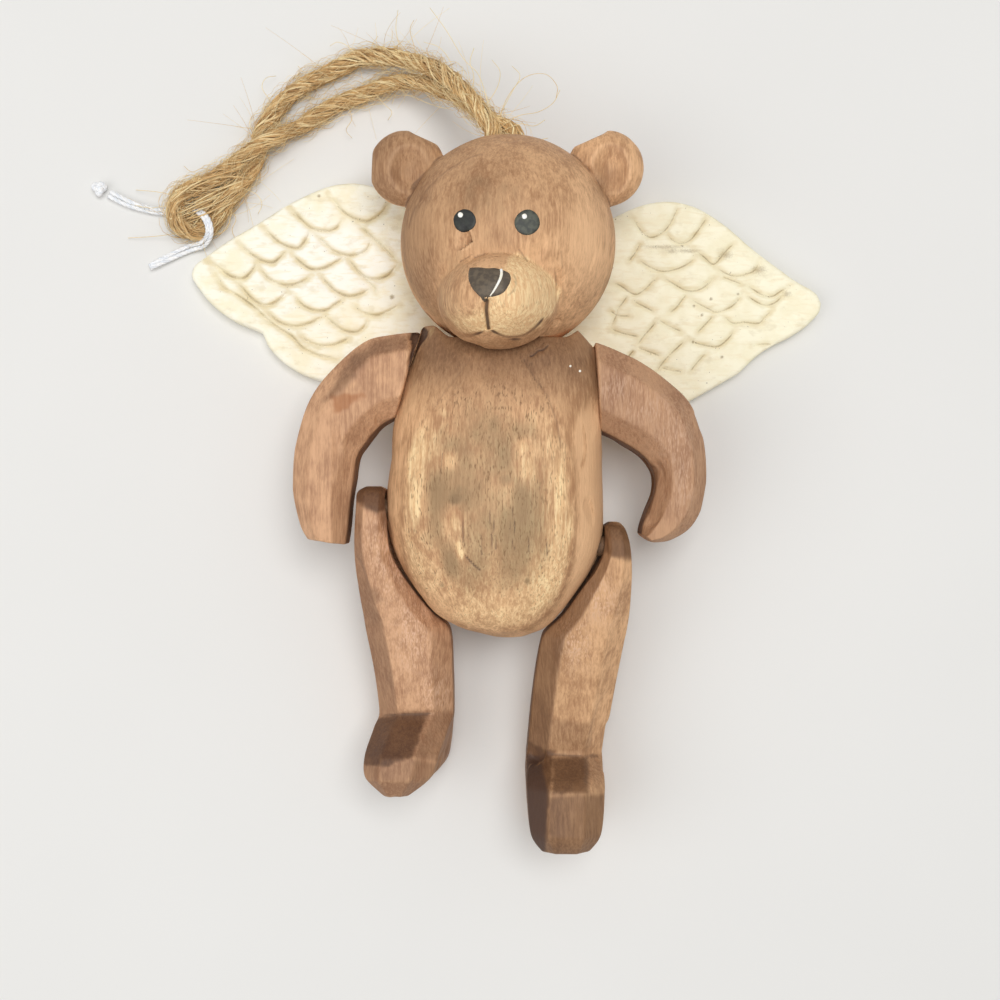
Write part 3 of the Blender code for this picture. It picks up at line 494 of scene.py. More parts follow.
def stained_wood(name, dark_tone, light_tone):
    """Thin brown stain on carved wood, with a mask for each kind of place."""
    look = Look(name, 0.62)
    streak = look.noise(0.00045, (1, 14, 1), 3, 0.3)
    fine = look.noise(0.00016, (1, 7, 1), 2)
    pores = look.noise(0.00022, (1, 5.5, 1), 1)
    mottle = look.noise(0.0018, (1, 1.6, 1), 3)
    blotch = look.noise(0.0070, (1, 1.5, 1), 2)
    grain = look.sum(look.product(streak, 0.55), fine, 0.30)
    tone = look.sum(look.sum(grain, mottle, 0.50), blotch, 0.60)
    stain = look.mix(look.step(tone, 0.74, 1.20), dark_tone, light_tone)
    # Lighter worn wood, and painted light on surfaces that face the light: the right cheek and the right
    # flank
    stain = look.mix(look.marks("worn", grain, 0.8, 0.60, 1.30, 0.85), stain, srgb(238, 192, 146))
    cream = look.mix(look.step(grain, 0.32, 0.56), srgb(228, 184, 134), srgb(252, 222, 170))
    stain = look.mix(look.marks("pale", look.sum(mottle, grain, 0.8), 0.60, 0.66, 1.36, 0.96), stain, cream)
    stain = look.mix(look.marks("smudge", mottle, 0.5, 0.35, 1.05, 0.80), stain, srgb(142, 116, 82))
    torn = look.product(look.step(look.sum(fine, mottle, 0.4), 0.66, 0.84, 0.62), look.mask("torn"))
    stain = look.mix(torn, stain, srgb(230, 190, 162))
    stain = look.mix(look.marks("rust", mottle, 0.5, 0.30, 1.20, 0.80), stain, srgb(160, 100, 56))
    open_grain = look.product(look.sum(0.10, look.mask("open"), 0.90), look.step(mottle, 0.30, 0.62))
    pore_marks = look.product(look.step(pores, 0.54, 0.70, 0.70), open_grain)
    stain = look.mix(pore_marks, stain, srgb(120, 86, 52))
    # The deep and dark masks hold stain, dark cut lines and creases, and also painted shade and painted
    # shadow: ear hollows, chin, chest under the head, limb sides away from the light, leg tops, under the
    # right smile and in the seam hole
    deep = look.marks("deep", mottle, 0.35, 0.19, 1.15, 0.92)
    stain = look.mix(deep, stain, srgb(112, 92, 68), "MULTIPLY")
    stain = look.mix(look.marks("dark", fine, 0.35, 0.35, 1.05, 0.90), stain, srgb(69, 45, 32))
    height = look.sum(look.sum(look.product(streak, 0.8), fine, 0.4), pore_marks, -0.5)
    roughness = look.sum(look.product(blotch, 0.2), mottle, 0.12)
    roughness = look.sum(roughness, 0.50)
    return look.finish(stain, height, 0.00011, roughness)


def bare_wood(name, low_tone, high_tone, pore_tone):
    look = Look(name, 0.7)
    streak = look.noise(0.0007, (1, 9, 1), 3)
    fine = look.noise(0.0002, (1, 8, 1), 1)
    colour = look.mix(look.step(streak, 0.35, 0.65), low_tone, high_tone)
    colour = look.mix(look.step(fine, 0.62, 0.72, 0.5), colour, pore_tone)
    return look.finish(colour, look.sum(look.product(streak, 0.6), fine, 0.4), 0.00008)


def ivory_paint(name, low_tone, high_tone):
    """Ivory paint with tan wiped into the carved lines, and dirt rubbed over it."""
    look = Look(name, 0.55)
    blotch = look.noise(0.0040, (1, 1, 1), 3)
    grain = look.noise(0.0007, (4.0, 1, 1), 3, 0.4)
    fine = look.noise(0.00024, (1, 1, 1), 2)
    dirt = look.noise(0.0016, (1.6, 1, 1), 4)
    specks = look.noise(0.00050, (1, 1, 1), 1)
    colour = look.mix(look.step(blotch, 0.34, 0.62), low_tone, high_tone)
    colour = look.mix(look.marks("white", blotch, 0.5, 0.40, 1.10, 0.85), colour, srgb(254, 252, 242))
    colour = look.mix(look.step(grain, 0.50, 0.70, 0.45), colour, srgb(241, 227, 190))
    colour = look.mix(look.step(dirt, 0.56, 0.74, 0.42), colour, srgb(221, 208, 173))
    smear = look.sum(look.product(blotch, 0.5), look.sum(grain, dirt, 0.8), 0.5)
    colour = look.mix(look.marks("smear", smear, 1.0, 0.80, 1.60, 0.80), colour, srgb(227, 211, 168))
    colour = look.mix(look.marks("tan", fine, 0.6, 0.45, 1.25, 0.85), colour, srgb(162, 142, 106))
    colour = look.mix(look.step(specks, 0.75, 0.79, 0.7), colour, srgb(133, 115, 89))
    height = look.sum(look.sum(look.product(grain, 0.8), fine, 0.4), dirt, 0.8)
    roughness = look.sum(look.product(blotch, 0.3), 0.42)
    return look.finish(colour, height, 0.00012, roughness)


def film_paint(name, dark, light, roughness):
    """Hand-brushed paint: two close tones, faint brush marks and a little gloss."""
    look = Look(name, roughness)
    patch = look.noise(0.0009, (1, 1, 1), 3)
    brush = look.noise(0.00022, (1, 4, 1), 2)
    colour = look.mix(look.step(patch, 0.38, 0.64), dark, light)
    return look.finish(colour, look.sum(look.product(patch, 0.6), brush, 0.4), 0.00005)


def brushed_steel():
    look = Look("steel_look", 0.35, 1.0)
    scratch = look.noise(0.0003, (1, 6, 6), 2)
    colour = look.mix(scratch, srgb(166, 166, 168), srgb(227, 227, 230))
    return look.finish(colour, scratch, 0.00002, look.sum(look.product(scratch, 0.3), 0.25))


def jute():
    """Straw-coloured fibres, each with its own shade."""
    look = Look("jute_look", 0.75)
    fine = look.noise(0.0006, (1, 1, 1), 2)
    tone = look.sum(look.mask("shade"), fine, 0.35)
    colour = look.mix(look.step(tone, 0.15, 0.70), srgb(155, 115, 69), srgb(216, 177, 120))
    colour = look.mix(look.step(tone, 0.65, 1.20), colour, srgb(250, 230, 181))
    look.nap(0.4, srgb(250, 245, 203))
    return look.finish(colour, fine, 0.00004)


def cotton():
    look = Look("cotton_look", 0.8)
    fine = look.noise(0.00018, (1, 1, 1), 2)
    tone = look.sum(look.mask("shade"), fine, 0.5)
    colour = look.mix(look.step(tone, 0.2, 1.0), srgb(216, 224, 234), srgb(250, 250, 250))
    look.nap(0.5, srgb(250, 250, 250))
    return look.finish(colour, fine, 0.00004)


BROWN_WOOD = stained_wood("brown_wood_look", srgb(170, 125, 86), srgb(228, 181, 135))
PINK_WOOD = stained_wood("pink_wood_look", srgb(164, 119, 86), srgb(214, 167, 128))
BARE_WOOD = bare_wood("bare_wood_look", srgb(166, 126, 87), srgb(203, 162, 115), srgb(124, 89, 61))
PEG_WOOD = bare_wood("peg_wood_look", srgb(99, 71, 48), srgb(126, 93, 64), srgb(72, 50, 34))
LEFT_IVORY = ivory_paint("left_ivory_look", srgb(248, 240, 210), srgb(253, 249, 230))
RIGHT_IVORY = ivory_paint("right_ivory_look", srgb(246, 238, 206), srgb(253, 247, 220))
LEFT_EYE_PAINT = film_paint("left_eye_paint_look", srgb(18, 19, 17), srgb(36, 39, 33), 0.55)
RIGHT_EYE_PAINT = film_paint("right_eye_paint_look", srgb(43, 46, 40), srgb(74, 76, 64), 0.55)
NOSE_PAINT = film_paint("nose_paint_look", srgb(74, 63, 51), srgb(98, 85, 68), 0.55)
WHITE_PAINT = film_paint("white_paint_look", srgb(249, 242, 221), srgb(250, 250, 247), 0.45)
STEEL = brushed_steel()
JUTE = jute()
COTTON = cotton()


# Meshes and objects


@contextmanager
def editing(mesh):
    """A mesh opened for editing, and written back at the end."""
    bm = bmesh.new()
    bm.from_mesh(mesh)
    yield bm
    bm.to_mesh(mesh)
    bm.free()


def face_outwards(mesh):
    with editing(mesh) as bm:
        bmesh.ops.recalc_face_normals(bm, faces=bm.faces)


def new_object(name, data):
    obj = bpy.data.objects.new(name, data)
    bpy.context.scene.collection.objects.link(obj)
    return obj


def apply_modifiers(obj):
    bpy.context.view_layer.update()
    evaluated = obj.evaluated_get(bpy.context.evaluated_depsgraph_get())
    obj.data = bpy.data.meshes.new_from_object(evaluated)
    obj.modifiers.clear()


def grid_faces(rows, count, first=0, closed=True):
    """Faces between each row of points and the next."""
    faces = []
    for start in range(first, first + (rows - 1) * count, count):
        for i in range(count if closed else count - 1):
            j = (i + 1) % count
            faces.append((start + i, start + j, start + count + j, start + count + i))
    return faces


# Carved pieces


class Surface:
    """The points of a finely divided piece while it is carved and stained."""

    def __init__(self, obj):
        self.obj = obj
        mesh = obj.data
        self.co = np.empty(len(mesh.vertices) * 3)
        mesh.vertices.foreach_get("co", self.co)
        self.co = self.co.reshape(-1, 3)
        edges = np.empty(len(mesh.edges) * 2, np.int32)
        mesh.edges.foreach_get("vertices", edges)
        self.ends = edges.reshape(-1, 2).T
        self.masks = {}
        self.update()

    def update(self):
        """Writes the points back and reads the new normals."""
        mesh = self.obj.data
        mesh.vertices.foreach_set("co", self.co.astype(np.float32).ravel())
        mesh.update()
        normal = np.empty(len(self.co) * 3, np.float32)
        mesh.vertex_normals.foreach_get("vector", normal)
        self.normal = normal.reshape(-1, 3).astype(float)
        self.seen = to_photo(self.co)
        self.pixel = (CAMERA_PLACE[2] - self.co[:, 2]) * PIXEL_SLOPE
        self.front = smoothstep(0.0, 0.3, self.normal[:, 2])

    def blur(self, values, rounds):
        a, b = self.ends
        count = len(self.co)
        neighbours = np.bincount(a, minlength=count) + np.bincount(b, minlength=count)
        for _ in range(rounds):
            total = np.bincount(a, values[b], count) + np.bincount(b, values[a], count)
            values = 0.5 * (values + total / np.maximum(neighbours, 1))
        return values

    def evened(self, rounds):
        return np.column_stack([self.blur(self.co[:, k], rounds) for k in range(3)])

    def smooth(self, rounds):
        self.co = self.evened(rounds)
        self.update()

    def soften(self, weight, rounds):
        """Smooths only where the weight asks for it."""
        self.co += (self.evened(rounds) - self.co) * weight[:, None]
        self.update()

    def relief(self, rounds):
        """How far each point stands above its surroundings."""
        return ((self.co - self.evened(rounds)) * self.normal).sum(axis=1)

    def push(self, amount):
        self.co += self.normal * amount[:, None]
        self.update()

    def fair_to_ball(self, centre, radii):
        """Turns the model's flat facets of a ball into a true round surface."""
        ratio = ball_ratio(self.co, (centre, radii))
        weight = smoothstep(0.955, 0.975, ratio) * (1 - smoothstep(1.01, 1.03, ratio))
        scale = 1 + weight * (1 / np.maximum(ratio, 0.1) - 1)
        self.co = np.asarray(centre) + (self.co - centre) * scale[:, None]
        self.update()

    def groove(self, line, width, depth, dark, ends=0.04):
        """Cuts a line of the photograph into the front."""
        gap, share, _ = line_distance(self.seen, line)
        near = self.front * np.exp(-(gap * self.pixel / width) ** 2)
        near *= smoothstep(-0.001, ends, share) * smoothstep(-0.001, ends, 1 - share)
        self.co[:, 2] -= depth * near
        self.add("dark", dark * near)

    def radii_away(self, centre, radius):
        """Distance from a pixel of the photograph, in radii given in metres."""
        return np.linalg.norm((self.seen - centre) * self.pixel[:, None] / np.asarray(radius, float), axis=1)

    def spot(self, centre, radius):
        """1 at a pixel of the photograph, falling off over a radius in metres."""
        return self.front * np.exp(-self.radii_away(centre, radius) ** 2)

    def bowl(self, centre, radius):
        """1 at a pixel of the photograph, falling like a round dish to 0 at a radius in metres."""
        return self.front * np.clip(1 - self.radii_away(centre, radius) ** 2, 0, 1)

    def patch(self, outline, softness=1.5, wobble=0.0):
        """1 inside an outline in pixels of the photograph, with a soft, uneven edge."""
        depth = depth_inside(self.seen, outline) + wobble * noise(self.co, (0.0012, 0.0009, 0.0012), 4)
        return self.front * smoothstep(-softness, softness, depth)

    def shave(self, centre, normal, radius):
        """Cuts all that stands beyond a plane, near its centre."""
        normal = np.asarray(normal, float) / np.linalg.norm(normal)
        offset = self.co - centre
        reach = 1 - smoothstep(radius * 0.8, radius, np.linalg.norm(offset, axis=1))
        self.co -= normal * (np.maximum(0.0, offset @ normal) * reach)[:, None]

    def whittle(self, seed, count, length, width, depth, where=None):
        """Shaves small flats off the ridges with a knife, along the grain."""
        rng = np.random.default_rng(seed)
        start = self.co.copy()
        normals = self.normal.copy()
        chosen = np.flatnonzero(where if where is not None else np.ones(len(start), bool))
        for index in rng.choice(chosen, count):
            centre = start[index]
            lean = normals[index] + rng.normal(0, 0.09, 3)
            lean /= np.linalg.norm(lean)
            offset = self.co - centre
            along = offset[:, 1] / (length * rng.uniform(0.6, 1.4))
            across = np.hypot(offset[:, 0], offset[:, 2]) / (width * rng.uniform(0.7, 1.3))
            reach = 1 - smoothstep(0.75, 1.05, np.hypot(along, across))
            proud = np.maximum(0.0, offset @ lean + depth * rng.uniform(0.3, 1.0))
            facing = (normals @ lean) > 0.5
            self.co -= lean * (proud * reach * facing)[:, None]
        self.update()

    def add(self, mask, values):
        self.masks[mask] = np.maximum(self.masks.get(mask, 0.0), values)

    def add_spots(self, mask, spots):
        """Adds soft spots to a mask: pixel of the photograph, radius in metres, strength."""
        for centre, radius, strength in spots:
            self.add(mask, strength * self.spot(centre, radius))

    def finish(self, body, node, slot, material):
        self.update()
        mesh = self.obj.data
        for name, values in self.masks.items():
            layer = mesh.attributes.new(name, "FLOAT", "POINT")
            layer.data.foreach_set("value", np.clip(values, 0, 1).astype(np.float32))
        mesh.materials.clear()
        mesh.materials.append(material)
        mesh.shade_smooth()
        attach(self.obj, body)
        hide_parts(node)
        return self.obj


def fine_copy(node, name, voxel, rounds):
    """A finely divided copy of a node's solid."""
    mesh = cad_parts[node].data.copy()
    with editing(mesh) as bm:
        bmesh.ops.remove_doubles(bm, verts=bm.verts, dist=1e-6)
    obj = new_object(name, mesh)
    remesh = obj.modifiers.new("fine", "REMESH")
    remesh.mode = "VOXEL"
    remesh.voxel_size = voxel
    apply_modifiers(obj)
    surface = Surface(obj)
    surface.smooth(rounds)
    return surface


def refined(surface, chosen):
    """Divides the edges between chosen points once more."""
    with editing(surface.obj.data) as bm:
        edges = [e for e in bm.edges if chosen[e.verts[0].index] and chosen[e.verts[1].index]]
        bmesh.ops.subdivide_edges(bm, edges=edges, cuts=1, use_grid_fill=True)
    return Surface(surface.obj)


def stain_by_shape(surface, fine_height, broad_height, wear=0.6, crease=0.55):
    """Ridges wear lighter; creases and broad hollows are darkened."""
    fine = surface.blur(surface.relief(6), 2)
    broad = surface.blur(surface.relief(60), 4)
    surface.add("worn", wear * smoothstep(0.25, 1.0, fine / fine_height))
    surface.add("dark", crease * smoothstep(0.35, 1.3, -fine / fine_height))
    surface.add("dark", 0.6 * crease * smoothstep(0.4, 1.4, -broad / broad_height))


# Hollow of each ear: middle, radius across and radius up
EAR_HOLLOWS = (((409, 169), (0.0034, 0.0042)), ((611, 169), (0.0033, 0.0045)))
EAR_DEPTH = 0.0019
EAR_BOWL_POWER = 1.2

# The part of the picture in which the muzzle lies, and how far the chin stands back from the mouth
MUZZLE_FRAME = ((430, 250), (570, 250), (570, 350), (430, 350))
CHIN_STEP = 0.00110

# Flats cut on the ears: place and direction of each
EAR_CUT_REACH = 0.0036
EAR_CUTS = (
    ((380, 141), (-0.68, 0.73, 0.15)),
    ((402, 131), (-0.02, 1.0, 0.15)),
    ((427, 140), (0.42, 0.90, 0.2)),
    ((372, 163), (-1.0, 0.05, 0.15)),
    ((613, 131), (0.10, 1.0, 0.15)),
    ((633, 142), (0.75, 0.66, 0.15)),
    ((644, 167), (1.0, -0.05, 0.15)),
    ((590, 140), (-0.40, 0.92, 0.2)),
)
HEAD_ARCS = (
    (((408, 232), (412, 215), (422, 197), (432, 184), (448, 170), (469, 158), (485, 153)), 0.42),
    (((585, 164), (598, 181), (604, 198)), 0.38),
    (((561, 249), (563, 275), (563, 305)), 0.42),
    (((518, 248), (523, 255), (528, 262)), 0.50),
    # Painted shadow beside the nose's right side
    (((513, 273), (516, 281), (514, 290), (507, 296)), 0.45),
    (((429, 262), (427, 280), (429, 300)), 0.15),
)
HEAD_SPOTS = {
    # Painted shadow under the right smile line
    "dark": (((515, 339), (0.0013, 0.00035), 0.80),),
    # Painted light on the right cheek, which faces the light
    "worn": (((586, 240), (0.0060, 0.0140), 0.80),),
    "smudge": (((485, 196), (0.0060, 0.0055), 0.35), ((458, 268), (0.0040, 0.0035), 0.30)),
    "deep": (
        ((470, 182), (0.0170, 0.0110), 0.42),
        ((494, 238), (0.0062, 0.0050), 0.34),
        # These last three are painted shade in the ear hollows
        ((420, 176), (0.0017, 0.0042), 0.50),
        ((601, 186), (0.0020, 0.0034), 0.40),
        ((618, 176), (0.0015, 0.0026), 0.25),
    ),
}

# Places of the muzzle that are less pale, paler places, and mounds: place, radius, amount
MUZZLE_SHADES = (
    ((460, 274), (0.0058, 0.0044), 0.70),
    ((467, 300), (0.0022, 0.0034), 0.55),
    ((507, 304), (0.0017, 0.0026), 0.35),
)
MUZZLE_LIGHTS = (
    ((474, 322), (0.0032, 0.0013), 0.50),
    ((513, 325), (0.0042, 0.0015), 0.60),
    ((530, 298), (0.0028, 0.0048), 0.60),
)
MUZZLE_MOUNDS = (
    ((461, 313), (0.0032, 0.0032), 0.0014),
    ((516, 313), (0.0035, 0.0034), 0.0014),
    ((489, 279), (0.0040, 0.0030), 0.0005),
)


def fill_hollow(surface, ball):
    """Lifts the front of an ear back to its round surface, to be hollowed again."""
    centre, radii = ball
    offset = (surface.co - centre) / radii
    flat = offset[:, 0] ** 2 + offset[:, 1] ** 2
    top = centre[2] + radii[2] * np.sqrt(np.clip(1 - flat, 0, 1))
    outside = ball_ratio(surface.co, HEAD_BALL) > 1.004
    in_front = (surface.co[:, 2] > centre[2] - 0.0015) & (surface.normal[:, 2] > -0.1)
    lower = in_front & (surface.co[:, 2] < top) & (flat < 0.80) & outside
    surface.co[lower, 2] = top[lower]
    surface.update()


def make_head():
    surface = fine_copy("head", "head_carved", WOOD_VOXEL, 2)
    for ball in (HEAD_BALL, MUZZLE_BALL) + EAR_BALLS:
        surface.fair_to_ball(*ball)
    for ball in EAR_BALLS:
        fill_hollow(surface, ball)
    for hollow, radius in EAR_HOLLOWS:
        surface.co[:, 2] -= EAR_DEPTH * surface.bowl(hollow, radius) ** EAR_BOWL_POWER
    surface.update()
    ear_height = EAR_BALLS[0][0][2]
    for (px, py), normal in EAR_CUTS:
        surface.shave(from_photo(px, py, ear_height), normal, EAR_CUT_REACH)
    surface.smooth(6)
    in_frame = depth_inside(surface.seen, MUZZLE_FRAME) > 0
    surface = refined(surface, in_frame & (surface.normal[:, 2] > 0.05))
    on_ear = (ball_ratio(surface.co, HEAD_BALL) > 1.03) & (surface.co[:, 1] > HEAD_BALL[0][1])
    whittled = (surface.normal[:, 2] > -0.3) & ~on_ear
    surface.whittle(seed=3, count=26, length=0.0045, width=0.0022, depth=0.00008, where=whittled)
    surface.push(0.00006 * noise(surface.co, (0.004, 0.009, 0.004), 5))
    for place, radius, height in MUZZLE_MOUNDS:
        surface.co[:, 2] += height * surface.spot(place, radius)
    for line in (MOUTH_LEFT, MOUTH_RIGHT):
        gap, share, side = line_distance(surface.seen, line)
        below = side * gap * surface.pixel
        inside = smoothstep(0.0, 0.30, share) * smoothstep(0.0, 0.30, 1 - share)
        drop = smoothstep(-0.00030, 0.00025, below) * (1 - smoothstep(0.0010, 0.0032, below))
        surface.co[:, 2] -= CHIN_STEP * drop * inside * surface.front
    surface.update()
    surface.groove(MOUTH_LEFT, width=0.00025, depth=0.00030, dark=0.95, ends=0.15)
    surface.groove(MOUTH_RIGHT, width=0.00025, depth=0.00034, dark=1.0, ends=0.15)
    surface.groove(MOUTH_MIDDLE, width=0.00090, depth=0.00040, dark=0.30)
    surface.groove(MOUTH_MIDDLE, width=0.00034, depth=0.00070, dark=1.0)
    for mask, spots in HEAD_SPOTS.items():
        surface.add_spots(mask, spots)
    for line, dark in HEAD_ARCS:
        surface.groove(line, width=0.00028, depth=0.00005, dark=dark)
    muzzle = surface.front * smoothstep(-4.0, 6.0, depth_inside(surface.seen, MUZZLE_PALE))
    pale = muzzle * (1 - 0.58 * smoothstep(512, 462, surface.seen[:, 0]))
    for place, radius, amount in MUZZLE_SHADES:
        pale *= 1 - amount * surface.spot(place, radius)
    for place, radius, amount in MUZZLE_LIGHTS:
        pale += amount * surface.spot(place, radius)
    surface.add("pale", pale)
    surface.add("open", 0.45 * muzzle)
    # Darker towards the left: stain, and painted shade on the side away from the light
    surface.add("deep", 0.48 * surface.front * smoothstep(490, 415, surface.seen[:, 0]))
    # Painted shade on the chin below the mouth
    surface.add("deep", 0.36 * surface.front * smoothstep(333, 350, surface.seen[:, 1]))
    surface.update()
    stain_by_shape(surface, 0.000045, 0.00030)
    return surface.finish("torso", "head", "stained_wood", BROWN_WOOD)


def body_section(y):
    """Middle, half width, front and back of the body at each height."""
    rings = smooth_curve(BODY_RINGS, 8)[::-1]
    left, right, front, back = (np.interp(y, rings[:, 0], rings[:, k]) for k in range(1, 5))
    return (left + right) / 2, (right - left) / 2, front, back


def body_squareness(y):
    """Power of the body's rounded outline at each height."""
    share = np.clip((y - BODY_RINGS[-1][0]) / (BODY_RINGS[0][0] - BODY_RINGS[-1][0]), 0, 1)
    return BODY_SQUARENESS_AT_BOTTOM + (BODY_SQUARENESS_AT_TOP - BODY_SQUARENESS_AT_BOTTOM) * share


def fair_body(surface):
    """Turns the flat facets of the body's sides into a true round surface."""
    middle, half, front, back = body_section(surface.co[:, 1])
    across = surface.co[:, 0] - middle
    up = surface.co[:, 2] - BODY_AXIS_Z
    depth = np.where(up > 0, front, back)
    power = body_squareness(surface.co[:, 1])
    ratio = (np.abs(across / half) ** power + np.abs(up / depth) ** power) ** (1 / power)
    weight = smoothstep(0.93, 0.965, ratio) * (1 - smoothstep(1.02, 1.05, ratio))
    inner = BODY_RINGS[-2][0]
    weight *= smoothstep(inner - 0.001, inner + 0.0005, surface.co[:, 1])
    scale = 1 + weight * (1 / np.maximum(ratio, 0.1) - 1)
    surface.co[:, 0] = middle + across * scale
    surface.co[:, 2] = BODY_AXIS_Z + up * scale
    surface.update()


BELLY_MIDDLE = (489, 506)
BELLY_REACH = (87, 127)
BELLY_SQUARENESS = 2.4
PANEL_STEP_AT_TOP = 0.00010
PANEL_STEP_MORE_BELOW = 0.00012
PANEL_DISH = 0.00045
BODY_SMUDGES = (
    ((455, 499), (0.0017, 0.0015), 1.00),
    ((459, 490), (0.0009, 0.0017), 0.85),
    ((507, 479), (0.0020, 0.0016), 0.70),
    ((500, 470), (0.0040, 0.0030), 0.50),
    ((528, 452), (0.0012, 0.0012), 0.50),
    ((527, 492), (0.0012, 0.0010), 0.50),
    ((490, 525), (0.0062, 0.0082), 0.62),
    ((482, 430), (0.0066, 0.0060), 0.55),
    ((442, 585), (0.0006, 0.0006), 0.60),
    ((527, 581), (0.0007, 0.0008), 0.80),
)
BODY_LIGHTS = (
    ((527, 467), (0.0020, 0.0030), 0.70),
    ((524, 447), (0.0015, 0.0015), 0.65),
    ((449, 460), (0.0014, 0.0016), 0.60),
    ((455, 524), (0.0015, 0.0028), 0.62),
    ((458, 546), (0.0005, 0.0010), 1.00),
    ((461, 554), (0.0006, 0.0011), 1.00),
    ((444, 413), (0.0014, 0.0012), 0.50),
    ((415, 500), (0.0012, 0.0070), 0.80),
    ((560, 500), (0.0016, 0.0100), 0.80),
)
# Grooves of the body by width, depth and darkness
BODY_CUTS = {
    (0.00030, 0.00006, 0.38): (
        ((472, 357), (456, 378), (442, 396), (432, 412)),
    ),
    (0.00030, 0.00008, 0.50): (
        ((522, 357), (534, 377), (547, 396), (556, 420), (562, 452)),
    ),
    (0.00018, 0.00025, 0.90): (
        ((529, 357), (534, 355), (538, 351), (543, 350), (549, 345)),
    ),
    (0.00012, 0.00012, 0.60): (
        ((534, 350), (541, 346), (546, 341)),
    ),
    (0.00024, 0.00012, 0.80): (
        ((465, 555), (471, 562), (481, 571)),
    ),
    (0.00018, 0.00008, 0.64): (
        ((462, 512), (463, 528), (463, 544)), ((481, 534), (481, 550), (482, 556)),
        ((489, 508), (491, 530), (493, 554)), ((493, 518), (495, 534), (496, 550)),
        ((509, 514), (510, 526), (509, 538)), ((512, 506), (514, 520), (515, 534)),
        ((511, 536), (513, 544), (516, 552)), ((528, 536), (529, 545), (529, 553)),
        ((546, 538), (547, 548), (547, 557)),
    ),
    (0.00013, 0.00006, 0.60): (
        ((443, 452), (441, 470), (439, 486)),
    ),
    (0.00013, 0.00006, 0.55): (
        ((468, 520), (468, 530), (469, 540)),
    ),
    # Painted shade on the body along the gap beside the right arm
    (0.00090, 0.00004, 0.40): (
        ((590, 345), (593, 370), (597, 402)),
    ),
}
CHEST_LINE = ((520, 352), (534, 377), (547, 396), (556, 420), (562, 452))

# Two specks of white paint
WHITE_SPECKS = (("white_speck_upper", (570.5, 366.0), 1.3), ("white_speck_lower", (580.0, 371.0), 1.4))

# Corner of the body beside the right arm, and the way it is cut
SHOULDER_CUT = ((583, 338.6), (0.72, 0.69, 0.05), 0.0070)

# The top rises beside the head: gap to it, largest height, and direction along each arm's flat
COLLAR_GAP = 0.0008
COLLAR_HEIGHT = 0.0024
COLLAR_DIRECTIONS = {side: (-side * math.sin(lean), math.cos(lean)) for side, _, lean in SHOULDERS.values()}

# Ragged hole at the top of the left arm's seam, painted dark as the shade inside it, its depth in each
# piece, and the splinter beside it
SEAM_HOLE_IN_BODY = 0.0012
SEAM_HOLE_IN_ARM = 0.0020
SEAM_HOLE = (
    (409, 337), (412, 330), (416, 327), (423, 326), (428, 331), (427, 337), (421, 344), (416.5, 352),
    (412.5, 361), (408, 369), (409.5, 356), (411.5, 343),
)
SEAM_SPLINTER = ((429, 329), (435, 326), (434, 332), (430, 337))


def raise_collar(surface):
    """Draws the body's top corners up along the round of the head."""
    (head_x, head_y, _), (head_radius, _, _) = HEAD_BALL
    beyond = surface.co[:, 0] - head_x
    under_head = head_y - np.sqrt(np.maximum((head_radius + COLLAR_GAP) ** 2 - beyond ** 2, 0))
    top = BODY_RINGS[0][0]
    rise = np.clip(under_head - top, 0, COLLAR_HEIGHT)
    rise *= smoothstep(top - 0.005, top - 0.0003, surface.co[:, 1])
    direction = np.where(beyond[:, None] < 0, COLLAR_DIRECTIONS[-1], COLLAR_DIRECTIONS[1])
    surface.co[:, :2] += rise[:, None] * direction
    surface.update()


